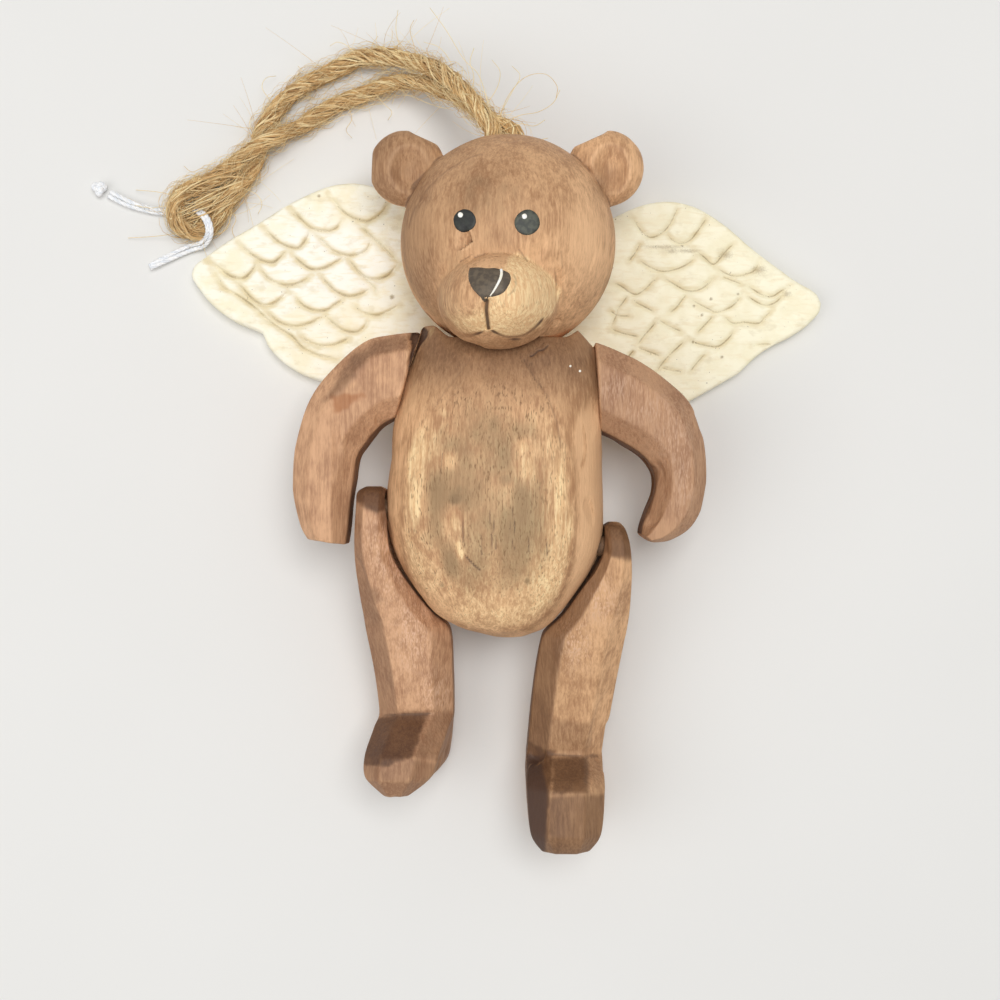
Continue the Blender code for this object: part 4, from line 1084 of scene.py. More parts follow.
def make_body():
    surface = fine_copy("body", "body_carved", WOOD_VOXEL, 2)
    fair_body(surface)
    raise_collar(surface)
    place, normal, reach = SHOULDER_CUT
    surface.shave(from_photo(*place, BODY_AXIS_Z), normal, reach)
    surface.smooth(5)
    across = (surface.seen[:, 0] - BELLY_MIDDLE[0]) / BELLY_REACH[0]
    along = (surface.seen[:, 1] - BELLY_MIDDLE[1]) / BELLY_REACH[1]
    power = BELLY_SQUARENESS
    inside = 1 - (np.abs(across) ** power + np.abs(along) ** power) ** (1 / power)
    inside += 0.030 * noise(surface.co, (0.007, 0.009, 0.02), 17)
    inside += 0.012 * noise(surface.co, (0.002, 0.004, 0.02), 18)
    whittled = (surface.normal[:, 2] > -0.5) & (inside < -0.08)
    surface.whittle(seed=11, count=24, length=0.0060, width=0.0028, depth=0.00012, where=whittled)
    surface.push(0.00007 * noise(surface.co, (0.005, 0.012, 0.005), 6))
    lower_half = smoothstep(-0.6, 0.2, along)
    step = smoothstep(-0.05, 0.01, inside)
    dish = smoothstep(0.0, 0.40, inside)
    height = (PANEL_STEP_AT_TOP + PANEL_STEP_MORE_BELOW * lower_half) * step - PANEL_DISH * dish
    surface.co[:, 2] += surface.front * height
    surface.update()
    for (width, depth, dark), lines in BODY_CUTS.items():
        for line in lines:
            surface.groove(line, width, depth, dark)
    ring = smoothstep(-0.05, 0.08, inside)
    centre = smoothstep(0.08, 0.40, inside)
    top_fade = 1 - 0.90 * smoothstep(-0.40, -0.95, along)
    bottom_fade = 1 - 0.25 * smoothstep(0.55, 0.9, along)
    patchy = 0.78 + 0.40 * noise(surface.co, (0.0050, 0.0065, 0.02), 19)
    surface.add("pale", surface.front * 0.82 * ring * patchy * (1 - 0.45 * centre) * top_fade * bottom_fade)
    surface.add("open", surface.front * ring * (1 - 0.4 * smoothstep(0.3, 0.8, along)))
    uneven_centre = centre * (0.85 + 0.60 * noise(surface.co, (0.0024, 0.0060, 0.02), 20))
    surface.add("smudge", surface.front * 0.66 * uneven_centre * (1 - 0.5 * smoothstep(0.45, 0.8, along)))
    for spot, radius, amount in BODY_SMUDGES:
        surface.add("smudge", amount * surface.spot(spot, radius))
        surface.add("deep", max(0.0, amount - 0.65) * surface.spot(spot, radius))
    for spot, radius, amount in BODY_LIGHTS:
        light = surface.spot(spot, radius)
        surface.masks["smudge"] *= 1 - light
        surface.add("pale", amount * light)
    # Darker chest under the head: stain, and the head's painted shadow
    surface.add("deep", surface.front * 0.68 * smoothstep(445, 350, surface.seen[:, 1]))
    edge_line = np.exp(-((inside + 0.01) / 0.020) ** 2)
    surface.add("deep", surface.front * 0.26 * edge_line * smoothstep(-0.9, -0.3, along))
    gap, _, _ = line_distance(surface.seen, CHEST_LINE)
    surface.add("open", surface.front * np.exp(-(gap * surface.pixel / 0.0007) ** 2))
    # Lighter flanks: wear, and painted light on the right flank, which faces the light
    flank = smoothstep(0.05, -0.1, inside) * smoothstep(0.96, 0.70, surface.normal[:, 2])
    below_shoulder = smoothstep(375, 420, surface.seen[:, 1])
    surface.add("worn", flank * below_shoulder * np.where(surface.co[:, 0] > 0, 0.90, 0.50))
    hole = surface.patch(SEAM_HOLE, 1.0)
    surface.co[:, 2] -= SEAM_HOLE_IN_BODY * hole
    # Painted shade in the seam hole
    surface.add("dark", hole)
    surface.add("pale", surface.patch(SEAM_SPLINTER, 1.0))
    stain_by_shape(surface, 0.00006, 0.00040, 0.6, 0.35)
    body = surface.finish("torso", "body", "stained_wood", BROWN_WOOD)
    for seed, (name, centre, radius) in enumerate(WHITE_SPECKS):
        film(name, disc_rows(round_outline(centre, radius, seed + 5, 12), 3), True, body, WHITE_PAINT)


UP = np.array((0.0, 0.0, 1.0))
POINT_SPACING = 0.00030
LID_RINGS = 14
OCTAGON_SIDES = 8
FRONT_OUTER, FRONT, FRONT_INNER, INNER, BACK_INNER, BACK, BACK_OUTER, OUTER = range(OCTAGON_SIDES)


def octagon(centre, wide, deep, half_wide, half_deep, cut_wide, cut_deep, turn=0.0):
    """Eight corners round a centre; turn slides the front sideways."""
    in_wide = half_wide - cut_wide
    in_deep = half_deep - cut_deep
    corners = ((half_wide, in_deep), (in_wide, half_deep), (-in_wide, half_deep), (-half_wide, in_deep),
               (-half_wide, -in_deep), (-in_wide, -half_deep), (in_wide, -half_deep), (half_wide, -in_deep))
    slide = [turn * (0.5 + 0.5 * through / half_deep) for _, through in corners]
    return np.array([centre + wide * (across + s) + deep * through
                     for (across, through), s in zip(corners, slide)])


def arm_octagons(name):
    side, pivot, lean = SHOULDERS[name]
    out = np.array((side * math.cos(lean), math.sin(lean), 0.0))
    down = np.array((side * math.sin(lean), -math.cos(lean), 0.0))
    rows = smooth_curve(ARM_RINGS[name], 12)
    octagons = []
    for share, (outer_out, outer_down, inner_out, inner_down) in zip(np.linspace(0, 1, len(rows)), rows):
        outer = pivot + out * (outer_out + FIT) + down * outer_down
        inner = pivot + out * (inner_out + FIT) + down * inner_down
        half_wide = np.linalg.norm(outer - inner) / 2
        wide = (outer - inner) / (2 * half_wide)
        half_deep = ARM_HALF_DEPTH + (ARM_HAND_HALF_DEPTH - ARM_HALF_DEPTH) * share
        cut_wide = min(ARM_CHAMFER_WIDE, half_wide * 0.6)
        cut_deep = min(ARM_CHAMFER_DEEP, half_deep * 0.6)
        octagons.append(octagon((outer + inner) / 2, wide, UP, half_wide, half_deep, cut_wide, cut_deep))
    return octagons, pivot, out


def leg_octagons(name):
    side, pivot = HIPS[name]
    out = np.array((side, 0.0, 0.0))
    rings = LEG_RINGS[name]
    rows = smooth_curve(rings, 12)
    straight = np.linspace(0, len(rings) - 1, len(rows))
    for column in (3, 4):
        rows[:, column] = np.interp(straight, np.arange(len(rings)), rings[:, column])
    octagons = []
    for drop, inner, outer, back, front, toe_turn in rows:
        half_wide = (outer - inner) / 2
        half_deep = (front - back) / 2
        centre = pivot + out * (FIT + (inner + outer) / 2) + np.array((0, -drop, (front + back) / 2))
        cut = LEG_CHAMFER_SHARE * 2 * min(half_wide, half_deep)
        octagons.append(octagon(centre, out, UP, half_wide, half_deep, cut, cut, toe_turn))
    return octagons, pivot, out


def even_stations(octagons):
    """The same loft with its stations one point spacing apart along its middle."""
    stack = np.array(octagons)
    along = along_line(stack.mean(axis=1))
    fine = resampled(stack.reshape(len(stack), -1), along, round(along[-1] / POINT_SPACING))
    return fine.reshape(-1, OCTAGON_SIDES, 3)


def lid_rings(ring):
    """Smaller and smaller copies of an end ring, from its middle outwards."""
    middle = ring.mean(axis=0)
    return [middle + (ring - middle) * k / LID_RINGS for k in range(1, LID_RINGS)]


def limb_mesh(name, octagons):
    """A finely divided loft with grids at its ends, and each point's octagon side."""
    stations = even_stations(octagons)
    lengths = np.linalg.norm(np.roll(stations, -1, axis=1) - stations, axis=2)
    counts = [max(3, round(length / POINT_SPACING)) for length in np.percentile(lengths, 75, axis=0)]
    rings = []
    for corners in stations:
        sides = zip(corners, np.roll(corners, -1, axis=0), counts)
        rings.append(np.array([a + (b - a) * k / count for a, b, count in sides for k in range(count)]))
    rings = lid_rings(rings[0]) + rings + lid_rings(rings[-1])[::-1]
    around = len(rings[0])
    end = (len(rings) - 1) * around
    faces = grid_faces(len(rings), around) + [tuple(range(around)), tuple(range(end, end + around))]
    mesh = bpy.data.meshes.new(name)
    mesh.from_pydata(np.vstack(rings), [], faces)
    facet = np.repeat(np.arange(OCTAGON_SIDES), counts)
    layer = mesh.attributes.new("facet", "FLOAT", "POINT")
    layer.data.foreach_set("value", np.tile(facet, len(rings)).astype(np.float32))
    face_outwards(mesh)
    return mesh


def bored(obj, centre, direction, radius, depth):
    """Cuts the peg's hole into a limb."""
    bpy.ops.mesh.primitive_cylinder_add(vertices=48, radius=radius, depth=2 * depth)
    drill = bpy.context.object
    turn = Vector(direction).to_track_quat("Z", "Y").to_matrix().to_4x4()
    drill.matrix_world = Matrix.Translation(centre) @ turn
    cut = obj.modifiers.new("hole", "BOOLEAN")
    cut.operation = "DIFFERENCE"
    cut.solver = "EXACT"
    cut.object = drill
    apply_modifiers(obj)
    bpy.data.objects.remove(drill, do_unlink=True)


# Bare, rusty patch of the left arm, and torn grain of the right arm
WORN_SPOT = (
    (331, 396), (340, 393), (352, 395), (365, 391), (366, 396), (354, 402), (349, 409), (338, 412),
    (331, 405),
)
# Darker band along the left arm's upper chamfer near the shoulder: stain, and painted shade on the side
# facing away from the light
SHOULDER_STAIN_AND_SHADE = ((322, 402), (350, 356), (380, 338), (412, 332), (408, 350), (372, 358), (340, 396))
TORN_PLACES = (
    ((618, 388), (0.0045, 0.0022), 1.0),
    ((650, 408), (0.0050, 0.0026), 1.0),
    ((676, 440), (0.0036, 0.0060), 1.0),
    ((685, 480), (0.0024, 0.0060), 1.0),
)

# Torn grain of the legs
TORN_LEG_PLACES = {
    "left_leg": (
        ((388, 545), (0.0040, 0.0060), 1.0),
        ((394, 572), (0.0030, 0.0060), 1.0),
        ((412, 630), (0.0032, 0.0080), 1.0),
        ((436, 690), (0.0030, 0.0034), 1.0),
    ),
    "right_leg": (
        ((600, 600), (0.0036, 0.0040), 1.0),
        ((575, 640), (0.0030, 0.0050), 1.0),
    ),
}
SHADED_HEEL = ((520, 752), (540, 756), (548, 790), (546, 852), (520, 856))

# How far each leg swings, in degrees, how many steps of it are tried, the gap the leg keeps
# to the body, and the most it is pressed
HIP_SWINGS = {"left_leg": (-30, 90), "right_leg": (-30, 80)}
HIP_STEPS = 25
HIP_CLEARANCE = 0.00012
HIP_PRESS = 0.0010

# Ankle creases, and places of the legs that are darkened: stain, and painted shadow and shade on the leg
# tops and the right foot's side; outline in pixels, and strength
CREASES = {
    "left_leg": ((374, 717), (392, 715), (410, 714), (430, 713), (451, 711)),
    "right_leg": ((540, 757), (553, 755), (570, 756), (588, 756), (602, 753)),
}
STAIN_AND_SHADOW_PATCHES = {
    "left_leg": (
        (((372, 716), (410, 713), (430, 712), (413, 757), (388, 768), (358, 766), (360, 740)), 1.0),
        (((410, 713), (459, 709), (462, 752), (440, 764), (408, 760)), 0.45),
        (((352, 764), (412, 757), (440, 762), (460, 752), (450, 790), (419, 806), (388, 806), (352, 790)),
         0.46),
        # The leg's top: painted shadow of the arm and body
        (((350, 478), (394, 478), (392, 510), (376, 514), (350, 500)), 1.0),
        (((366, 480), (396, 480), (394, 530), (386, 536), (376, 508)), 0.60),
        (((368, 586), (378, 588), (384, 600), (374, 606), (367, 598)), 0.45),
    ),
    "right_leg": (
        (((550, 755), (590, 755), (591, 795), (550, 796)), 0.84),
        # The right foot's left side: painted shade
        (((520, 735), (555, 752), (552, 792), (548, 822), (545, 856), (520, 856), (518, 800)), 1.0),
        (((548, 795), (606, 792), (610, 815), (604, 860), (540, 860), (544, 822)), 0.70),
        (((586, 755), (612, 750), (612, 800), (604, 814), (588, 796)), 0.42),
        # The leg's top beside the hand: painted shadow
        (((600, 515), (640, 530), (640, 560), (618, 560), (596, 552)), 0.84),
        (((549, 716), (592, 722), (590, 756), (546, 756)), 0.45),
    ),
}

# How dark each side of a limb is made: stain, and painted shade on the sides that face away from the light
LEFT_ARM_SIDE_SHADING = {FRONT_OUTER: 0.0, FRONT: 0.0, FRONT_INNER: 0.20, INNER: 0.60, OUTER: 0.0}
RIGHT_ARM_SIDE_SHADING = {FRONT_OUTER: 0.38, FRONT: 0.36, FRONT_INNER: 0.46, INNER: 0.85, OUTER: 0.40}
LEFT_LEG_SIDE_SHADING = {FRONT_OUTER: 0.48, FRONT: 0.0, FRONT_INNER: 0.10, INNER: 0.35, OUTER: 0.40}
RIGHT_LEG_SIDE_SHADING = {FRONT_OUTER: 0.06, FRONT: 0.22, FRONT_INNER: 0.66, INNER: 0.85, OUTER: 0.20}


def carved_limb(name, octagons, pivot, out, hole, side_shading, seed):
    """A smooth loft of a limb with its peg's hole, darkened side by side with stain and painted shade, and
    whittled.
    """
    obj = new_object(name + "_carved", limb_mesh(name + "_carved", octagons))
    bored(obj, pivot + out * FIT, out, *hole)
    surface = Surface(obj)
    facet = np.empty(len(surface.co), np.float32)
    obj.data.attributes["facet"].data.foreach_get("value", facet)
    surface.smooth(3)
    tone = np.zeros(len(facet))
    for side, amount in side_shading.items():
        tone[np.round(facet) == side] = amount
    # Each side is darkened by its amount: stain, and painted shade on the sides away from the light
    surface.add("deep", surface.blur(tone, 3))
    surface.whittle(seed, count=26, length=0.0090, width=0.0020, depth=0.00012)
    surface.push(0.00008 * noise(surface.co, (0.003, 0.008, 0.003), seed + 1))
    surface.smooth(1)
    return surface


def finish_limb(surface, name, material):
    surface.update()
    stain_by_shape(surface, 0.00006, 0.00040, 0.45)
    surface.finish(name, name, "stained_wood", material)


def make_arms():
    surface = carved_limb("left_arm", *arm_octagons("left_arm"), SHOULDER_HOLE, LEFT_ARM_SIDE_SHADING, 31)
    surface.add("rust", 0.75 * surface.patch(WORN_SPOT, 4.0, 5.0))
    # Stain and painted shade near the shoulder
    surface.add("deep", 0.55 * surface.patch(SHOULDER_STAIN_AND_SHADE, 5.0, 2.0))
    surface.add("worn", 0.40 * surface.spot((350, 386), (0.0032, 0.0010)))
    hole = surface.patch(SEAM_HOLE, 1.0)
    surface.co[:, 2] -= SEAM_HOLE_IN_ARM * hole
    # Painted shade in the seam hole
    surface.add("dark", hole)
    finish_limb(surface, "left_arm", PINK_WOOD)
    surface = carved_limb("right_arm", *arm_octagons("right_arm"), SHOULDER_HOLE, RIGHT_ARM_SIDE_SHADING, 41)
    surface.add_spots("torn", TORN_PLACES)
    finish_limb(surface, "right_arm", PINK_WOOD)


def clear_of_body(surface, name):
    """Presses a leg's inner side out of the room that the body takes while the leg swings."""
    side, (_, pivot_y, pivot_z) = HIPS[name]
    y = surface.co[:, 1] - pivot_y
    z = surface.co[:, 2] - pivot_z
    taken = np.full(len(y), -1.0)
    for angle in np.radians(np.linspace(*HIP_SWINGS[name], HIP_STEPS)):
        turned_y = pivot_y + y * math.cos(angle) + z * math.sin(angle)
        turned_z = pivot_z - y * math.sin(angle) + z * math.cos(angle)
        middle, half, front, back = body_section(turned_y)
        up = turned_z - BODY_AXIS_Z
        through = np.abs(up) / np.where(up > 0, front, back)
        power = body_squareness(turned_y)
        reach = side * middle + half * np.clip(1 - through ** power, 0, 1) ** (1 / power)
        beside = (through < 1) & (turned_y > BODY_RINGS[-1][0]) & (turned_y < BODY_RINGS[0][0])
        taken = np.maximum(taken, np.where(beside, reach, -1.0))
    lacking = np.clip(taken + HIP_CLEARANCE - side * surface.co[:, 0], 0, HIP_PRESS)
    surface.co[:, 0] += side * lacking
    surface.update()


def make_leg(name, side_shading, seed, material):
    surface = carved_limb(name, *leg_octagons(name), HIP_HOLE, side_shading, seed)
    clear_of_body(surface, name)
    surface.groove(CREASES[name], width=0.00030, depth=0.00020, dark=0.20, ends=0.25)
    # Stain, and painted shadow and shade on the legs
    for outline, amount in STAIN_AND_SHADOW_PATCHES[name]:
        surface.add("deep", amount * surface.patch(outline, 6.0, 1.5))
    surface.add_spots("torn", TORN_LEG_PLACES[name])
    surface.add("worn", 0.40 * surface.spot((384, 545), (0.0040, 0.0080)))
    if name == "right_leg":
        surface.add("dark", 0.90 * surface.patch(SHADED_HEEL, 4.0))
    finish_limb(surface, name, material)


def side_distance(surface):
    """Distance of each point from the nearest point of the piece's sides, seen from above."""
    is_side = np.abs(surface.normal[:, 2]) < 0.35
    sides = surface.co[is_side]
    tree = KDTree(len(sides))
    for k, (x, y, _) in enumerate(sides):
        tree.insert((x, y, 0.0), k)
    tree.balance()
    gap = np.zeros(len(surface.co))
    for k in np.flatnonzero(~is_side):
        x, y, _ = surface.co[k]
        gap[k] = tree.find((x, y, 0.0))[2]
    return gap


WING_EDGE_ROUNDING = 0.0005

# Height and reach of the feather above a line, reach of the slope below it and of its edge where the
# feathers are shingled, reach of the slope where they aren't, and depth of the knife cut and of the
# face along it
FEATHER_RISE = 0.00012
FEATHER_REACH = 0.0012
SHINGLE_SLOPE = 0.0009
SHINGLE_EDGE = 0.00020
PLAIN_SLOPE = 0.00055
KNIFE_DEPTH = 0.00018
LINE_SINK = 0.00016

# Middle of the left wing, where the paint is whitest
WHITE_FEATHERS = ((322, 262), (0.0150, 0.0100))

# Width of the knife cuts, drop below them, and strength of the tan and the smears in them
WING_CUTS = {"left_wing": (0.00022, 0.00026, 0.78, 0.80), "right_wing": (0.00016, 0.00018, 1.0, 0.62)}


def make_wing(node, lines, specks, shingled, material, seed):
    """Carved feathers; where shingled, each line's upper side stands over the slope that starts below it."""
    cut_width, drop, tan_strength, smear_strength = WING_CUTS[node]
    surface = fine_copy(node, node + "_carved", WING_VOXEL, 4)
    middle = (surface.co[:, 2].max() + surface.co[:, 2].min()) / 2
    nearest = np.full(len(surface.co), np.inf)
    for line in lines:
        near = beside(surface, line, 6)
        nearest[near] = np.minimum(nearest[near], line_distance(surface.seen[near], line)[0])
    surface = refined(surface, (nearest < 3.5) & (surface.normal[:, 2] > 0.7))
    gap = side_distance(surface)
    inset = np.clip(WING_EDGE_ROUNDING - gap, 0, WING_EDGE_ROUNDING)
    rounding = WING_EDGE_ROUNDING - np.sqrt(WING_EDGE_ROUNDING ** 2 - inset ** 2)
    up = surface.co[:, 2] > middle
    surface.co[:, 2] -= np.where(up, 0.6, -0.4) * rounding
    surface.update()
    surface.soften(1 - smoothstep(0.0006, 0.0014, gap), 3)
    face = smoothstep(0.5, 0.9, surface.normal[:, 2]) * up
    raised = np.zeros(len(surface.co))
    lowered = np.zeros(len(surface.co))
    cut = np.zeros(len(surface.co))
    distance = np.full(len(surface.co), 0.01)
    uneven = 0.75 + 0.35 * noise(surface.co, (0.0016, 0.0016, 0.01), seed + 5)
    for line in lines:
        near = beside(surface, line, 24)
        away, share, side = line_distance(surface.seen[near], line)
        away = away * surface.pixel[near]
        ends = smoothstep(-0.04, 0.20, share) * smoothstep(-0.04, 0.20, 1 - share)
        if shingled:
            rise = smoothstep(0.0, 0.0003, away) * np.exp(-(away / FEATHER_REACH) ** 2)
            above = np.where(side < 0, rise, 0.0)
            slope = np.where(side > 0, SHINGLE_SLOPE, SHINGLE_EDGE)
            below = np.exp(-(away / slope) ** 2)
        else:
            above = np.zeros(len(away))
            below = np.exp(-(away / PLAIN_SLOPE) ** 2)
        raised[near] = np.maximum(raised[near], above * ends)
        lowered[near] = np.maximum(lowered[near], below * ends)
        cut[near] = np.maximum(cut[near], np.exp(-(away / cut_width) ** 2) * ends)
        distance[near] = np.minimum(distance[near], away)
    relief = FEATHER_RISE * raised - drop * lowered - KNIFE_DEPTH * cut
    relief += LINE_SINK * (smoothstep(0.0001, 0.0019, distance) - 1)
    relief += 0.00009 * noise(surface.co, (0.0032, 0.0024, 0.01), seed)
    relief += 0.00005 * noise(surface.co, (0.0011, 0.0008, 0.01), seed + 2)
    surface.co[:, 2] += face * relief
    surface.update()
    surface.add("tan", face * np.clip(tan_strength * cut * uneven, 0, 1))
    smear = 1 - smoothstep(0.0002, 0.0013, distance)
    surface.add("smear", face * (0.05 + smear_strength * smear * uneven))
    if shingled:
        surface.add("white", face * surface.spot(*WHITE_FEATHERS))
    surface.add_spots("tan", specks)
    return surface.finish("torso", node, "painted_wing", material)


def beside(surface, line, reach):
    """The numbers of the points whose pixels lie near a line."""
    points = np.asarray(line, float)
    low = points.min(axis=0) - reach
    high = points.max(axis=0) + reach
    return np.flatnonzero(np.all((surface.seen > low) & (surface.seen < high), axis=1))


# Paint films on the face


FILM_HEIGHT = 0.00010
FILM_THICKNESS = 0.00022
CAMERA = Vector(CAMERA_PLACE)


def film(name, rows, closed, target, material, beneath=0.0):
    """A thin paint film on the target under rows of pixels, one ring or line each.

    beneath is the thickness of the paint that it lies on.
    """
    tree = BVHTree.FromObject(target, bpy.context.evaluated_depsgraph_get())
    count = len(rows[0])
    tops = []
    bottoms = []
    for k, row in enumerate(rows):
        rim = k == len(rows) - 1 or (not closed and k == 0)
        for i, (px, py) in enumerate(row):
            at_end = not closed and i in (0, count - 1)
            aim = (Vector(from_photo(px, py, 0.0)) - CAMERA).normalized()
            hit, normal, _, _ = tree.ray_cast(CAMERA, aim)
            lift = -FILM_HEIGHT * 0.3 if rim or at_end else FILM_HEIGHT
            tops.append(hit + normal * (beneath + lift))
            bottoms.append(hit + normal * (beneath - FILM_THICKNESS))
    total = len(tops)
    faces = grid_faces(len(rows), count, 0, closed)
    faces += [tuple(total + corner for corner in face[::-1]) for face in faces]
    for edge in border(len(rows), count, closed):
        faces += [(b, a, total + a, total + b) for a, b in zip(edge, edge[1:])]
    if closed:
        faces += [tuple(range(count))[::-1], tuple(range(total, total + count))]
    mesh = bpy.data.meshes.new(name)
    mesh.from_pydata(tops + bottoms, [], faces)
    face_outwards(mesh)
    mesh.materials.append(material)
    mesh.shade_smooth()
    obj = new_object(name, mesh)
    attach(obj, "torso")
    return obj


def border(rows, count, closed):
    """The outer edge of a grid of points, as lists of point numbers."""
    grid = np.arange(rows * count).reshape(rows, count)
    if closed:
        return [grid[-1].tolist() + [(rows - 1) * count]]
    return [edge.tolist() for edge in (grid[0], grid[-1, ::-1], grid[::-1, 0], grid[:, -1])]


def disc_rows(outline, rings=7):
    """Rings of pixels from near the middle of an outline to its edge."""
    outline = np.asarray(outline, float)
    middle = outline.mean(axis=0)
    return [middle + (outline - middle) * (k + 0.5) / (rings - 0.5) for k in range(rings)]


def round_outline(centre, radius, seed, points=40):
    """A hand-painted circle, a little uneven."""
    rng = np.random.default_rng(seed)
    phase = rng.uniform(0, math.tau, 3)
    outline = []
    for k in range(points):
        angle = math.tau * k / points
        uneven = sum(0.012 * math.sin((m + 2) * angle + phase[m]) for m in range(3))
        reach = radius * (1 + uneven)
        outline.append((centre[0] + reach * math.cos(angle), centre[1] + reach * math.sin(angle)))
    return outline


def make_face(head):
    for seed, (name, (centre, radius)) in enumerate(EYES.items()):
        paint = LEFT_EYE_PAINT if name == "left_eye" else RIGHT_EYE_PAINT
        film(name, disc_rows(round_outline(centre, radius, seed)), True, head, paint)
    for seed, (name, (centre, radius)) in enumerate(EYE_HIGHLIGHTS.items()):
        rows = disc_rows(round_outline(centre, radius, seed + 9, 20), 3)
        film(name, rows, True, head, WHITE_PAINT, FILM_HEIGHT)
    outline = smooth_curve(NOSE_OUTLINE + (NOSE_OUTLINE[0],), 3)[:-1]
    film("nose", disc_rows(outline), True, head, NOSE_PAINT)
    middle = smooth_curve(NOSE_STROKE, 6)
    share = np.linspace(0, 1, len(middle))
    widths = np.interp(share, np.linspace(0, 1, len(NOSE_STROKE_WIDTHS)), NOSE_STROKE_WIDTHS)
    run = np.gradient(middle, axis=0)
    square = np.column_stack((-run[:, 1], run[:, 0])) / np.linalg.norm(run, axis=1)[:, None]
    rows = [middle + square * (widths * place)[:, None] for place in (-0.5, -0.25, 0.0, 0.25, 0.5)]
    film("nose_highlight", rows, False, head, WHITE_PAINT, FILM_HEIGHT)


# Cords


def axes_along(path):
    """Two directions square to a path at each of its points, turning as little as they can."""
    tangent = np.gradient(path, axis=0)
    tangent /= np.linalg.norm(tangent, axis=1)[:, None]
    side = np.cross(tangent[0], (0.0, 0.0, 1.0))
    if np.linalg.norm(side) < 0.1:
        side = np.cross(tangent[0], (0.0, 1.0, 0.0))
    sides = []
    for direction in tangent:
        side = side - direction * (side @ direction)
        side = side / np.linalg.norm(side)
        sides.append(side)
    sides = np.array(sides)
    return tangent, sides, np.cross(tangent, sides)


def tubes(name, strands, material):
    """One mesh of closed tubes; each strand is its points, radius, shade and number of sides."""
    points = []
    faces = []
    shades = []
    first = 0
    for path, radius, shade, sides in strands:
        turn = np.arange(sides)[:, None] * math.tau / sides
        _, side, up = axes_along(path)
        ring = side[:, None] * np.cos(turn) + up[:, None] * np.sin(turn)
        ring *= np.broadcast_to(radius, len(path))[:, None, None]
        points.append((path[:, None] + ring).reshape(-1, 3))
        shades.append(np.full(len(path) * sides, shade))
        faces += grid_faces(len(path), sides, first)
        last = first + (len(path) - 1) * sides
        faces += [tuple(range(first, first + sides))[::-1], tuple(range(last, last + sides))]
        first += len(path) * sides
    mesh = bpy.data.meshes.new(name)
    mesh.from_pydata(np.vstack(points), [], faces)
    layer = mesh.attributes.new("shade", "FLOAT", "POINT")
    layer.data.foreach_set("value", np.concatenate(shades).astype(np.float32))
    mesh.materials.append(material)
    mesh.shade_smooth()
    return new_object(name, mesh)


def beside_path(path, side, up, reach, angle):
    """Points at a reach from a path, and at an angle round it."""
    return path + side * (reach * np.cos(angle))[:, None] + up * (reach * np.sin(angle))[:, None]


def wander(rng, along, amount, shortest, longest):
    """A smooth random drift along a cord."""
    total = np.zeros(len(along))
    for _ in range(3):
        wave = rng.uniform(shortest, longest)
        total += np.sin(along / wave * math.tau + rng.uniform(0, math.tau))
    return total * amount / 3


def keep_above_table(points, clearance):
    points[:, 2] = np.maximum(points[:, 2], clearance)
    return points


# Fibres of the twine, length in which they turn once, and short hairs
JUTE_FIBRES = 84
JUTE_TWIST = 0.019
JUTE_HAIRS = 2300

# Fibres in the fold's eye, the fold's place along the twine, and where the strand behind it gets thinner
FOLD_FIBRES = 90
FOLD_PLACE = 0.0905
THINNER_FROM, THINNER_TO = 0.098, 0.112
THINNER_BY = 0.10


def make_twine():
    rng = np.random.default_rng(21)
    path, length = evenly(smooth_curve(TWINE_ROUTE), 0.0011)
    along = np.linspace(0, length, len(path))
    _, side, up = axes_along(path)
    radius = TWINE_DIAMETER / 2
    lumps = 0.94 + wander(rng, along, 0.12, 0.006, 0.03)
    lumps = lumps - THINNER_BY * smoothstep(THINNER_FROM, THINNER_TO, along)
    strands = [(path, radius * 0.74 * lumps, 0.05, 8)]
    for k in range(JUTE_FIBRES):
        outer = k % 4 != 0
        reach = radius * (rng.uniform(0.78, 0.98) if outer else rng.uniform(0.6, 0.8))
        reach = (reach + wander(rng, along, 0.00034, 0.007, 0.025)) * lumps
        angle = rng.uniform(0, math.tau) + along / JUTE_TWIST * math.tau
        angle += wander(rng, along, 1.1, 0.01, 0.04)
        fibre = beside_path(path, side, up, reach, angle)
        thick = rng.uniform(0.00008, 0.00020) * (1 + wander(rng, along, 0.3, 0.004, 0.012))
        strands.append((keep_above_table(fibre, 0.0002), thick, rng.uniform(0.15, 1.0), 4))
    for _ in range(JUTE_HAIRS):
        strands.append(short_hair(rng, path, side, up, radius))
    twine = tubes("jute_twine", strands, JUTE)
    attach(twine, "torso")
    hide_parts("twine_loop")
    mat = fold_fibres(rng, path)
    strays = [
        stray_fibres("twine_strays_at_head", STRAY_FIBRES_AT_HEAD, rng, path, 30, (0.004, 0.040), []),
        stray_fibres("twine_strays_at_top", STRAY_FIBRES_AT_TOP, rng, path, 30, (0.030, 0.062), []),
        stray_fibres("twine_strays_at_fold", STRAY_FIBRES_AT_FOLD, rng, path, 34, (0.070, 0.115), mat),
    ]


def fold_fibres(rng, path):
    """Matted fibres that fill the eye of the fold."""
    step = np.linalg.norm(path[1] - path[0])
    fold = FOLD_PLACE / step
    strands = []
    for _ in range(FOLD_FIBRES):
        reach = rng.uniform(0.003, 0.012) / step
        start = path[int(fold - reach)] + rng.normal(0, 0.0007, 3)
        end = path[int(fold + reach * rng.uniform(0.7, 1.3))] + rng.normal(0, 0.0007, 3)
        bend = rng.normal(0, 0.0012, 3)
        t = np.linspace(0, 1, 8)[:, None]
        fibre = start + (end - start) * t + bend * np.sin(t * math.pi)
        thick = rng.uniform(0.00006, 0.00015)
        strands.append((keep_above_table(fibre, 0.0003), thick, rng.uniform(0.3, 1.0), 4))
    return strands


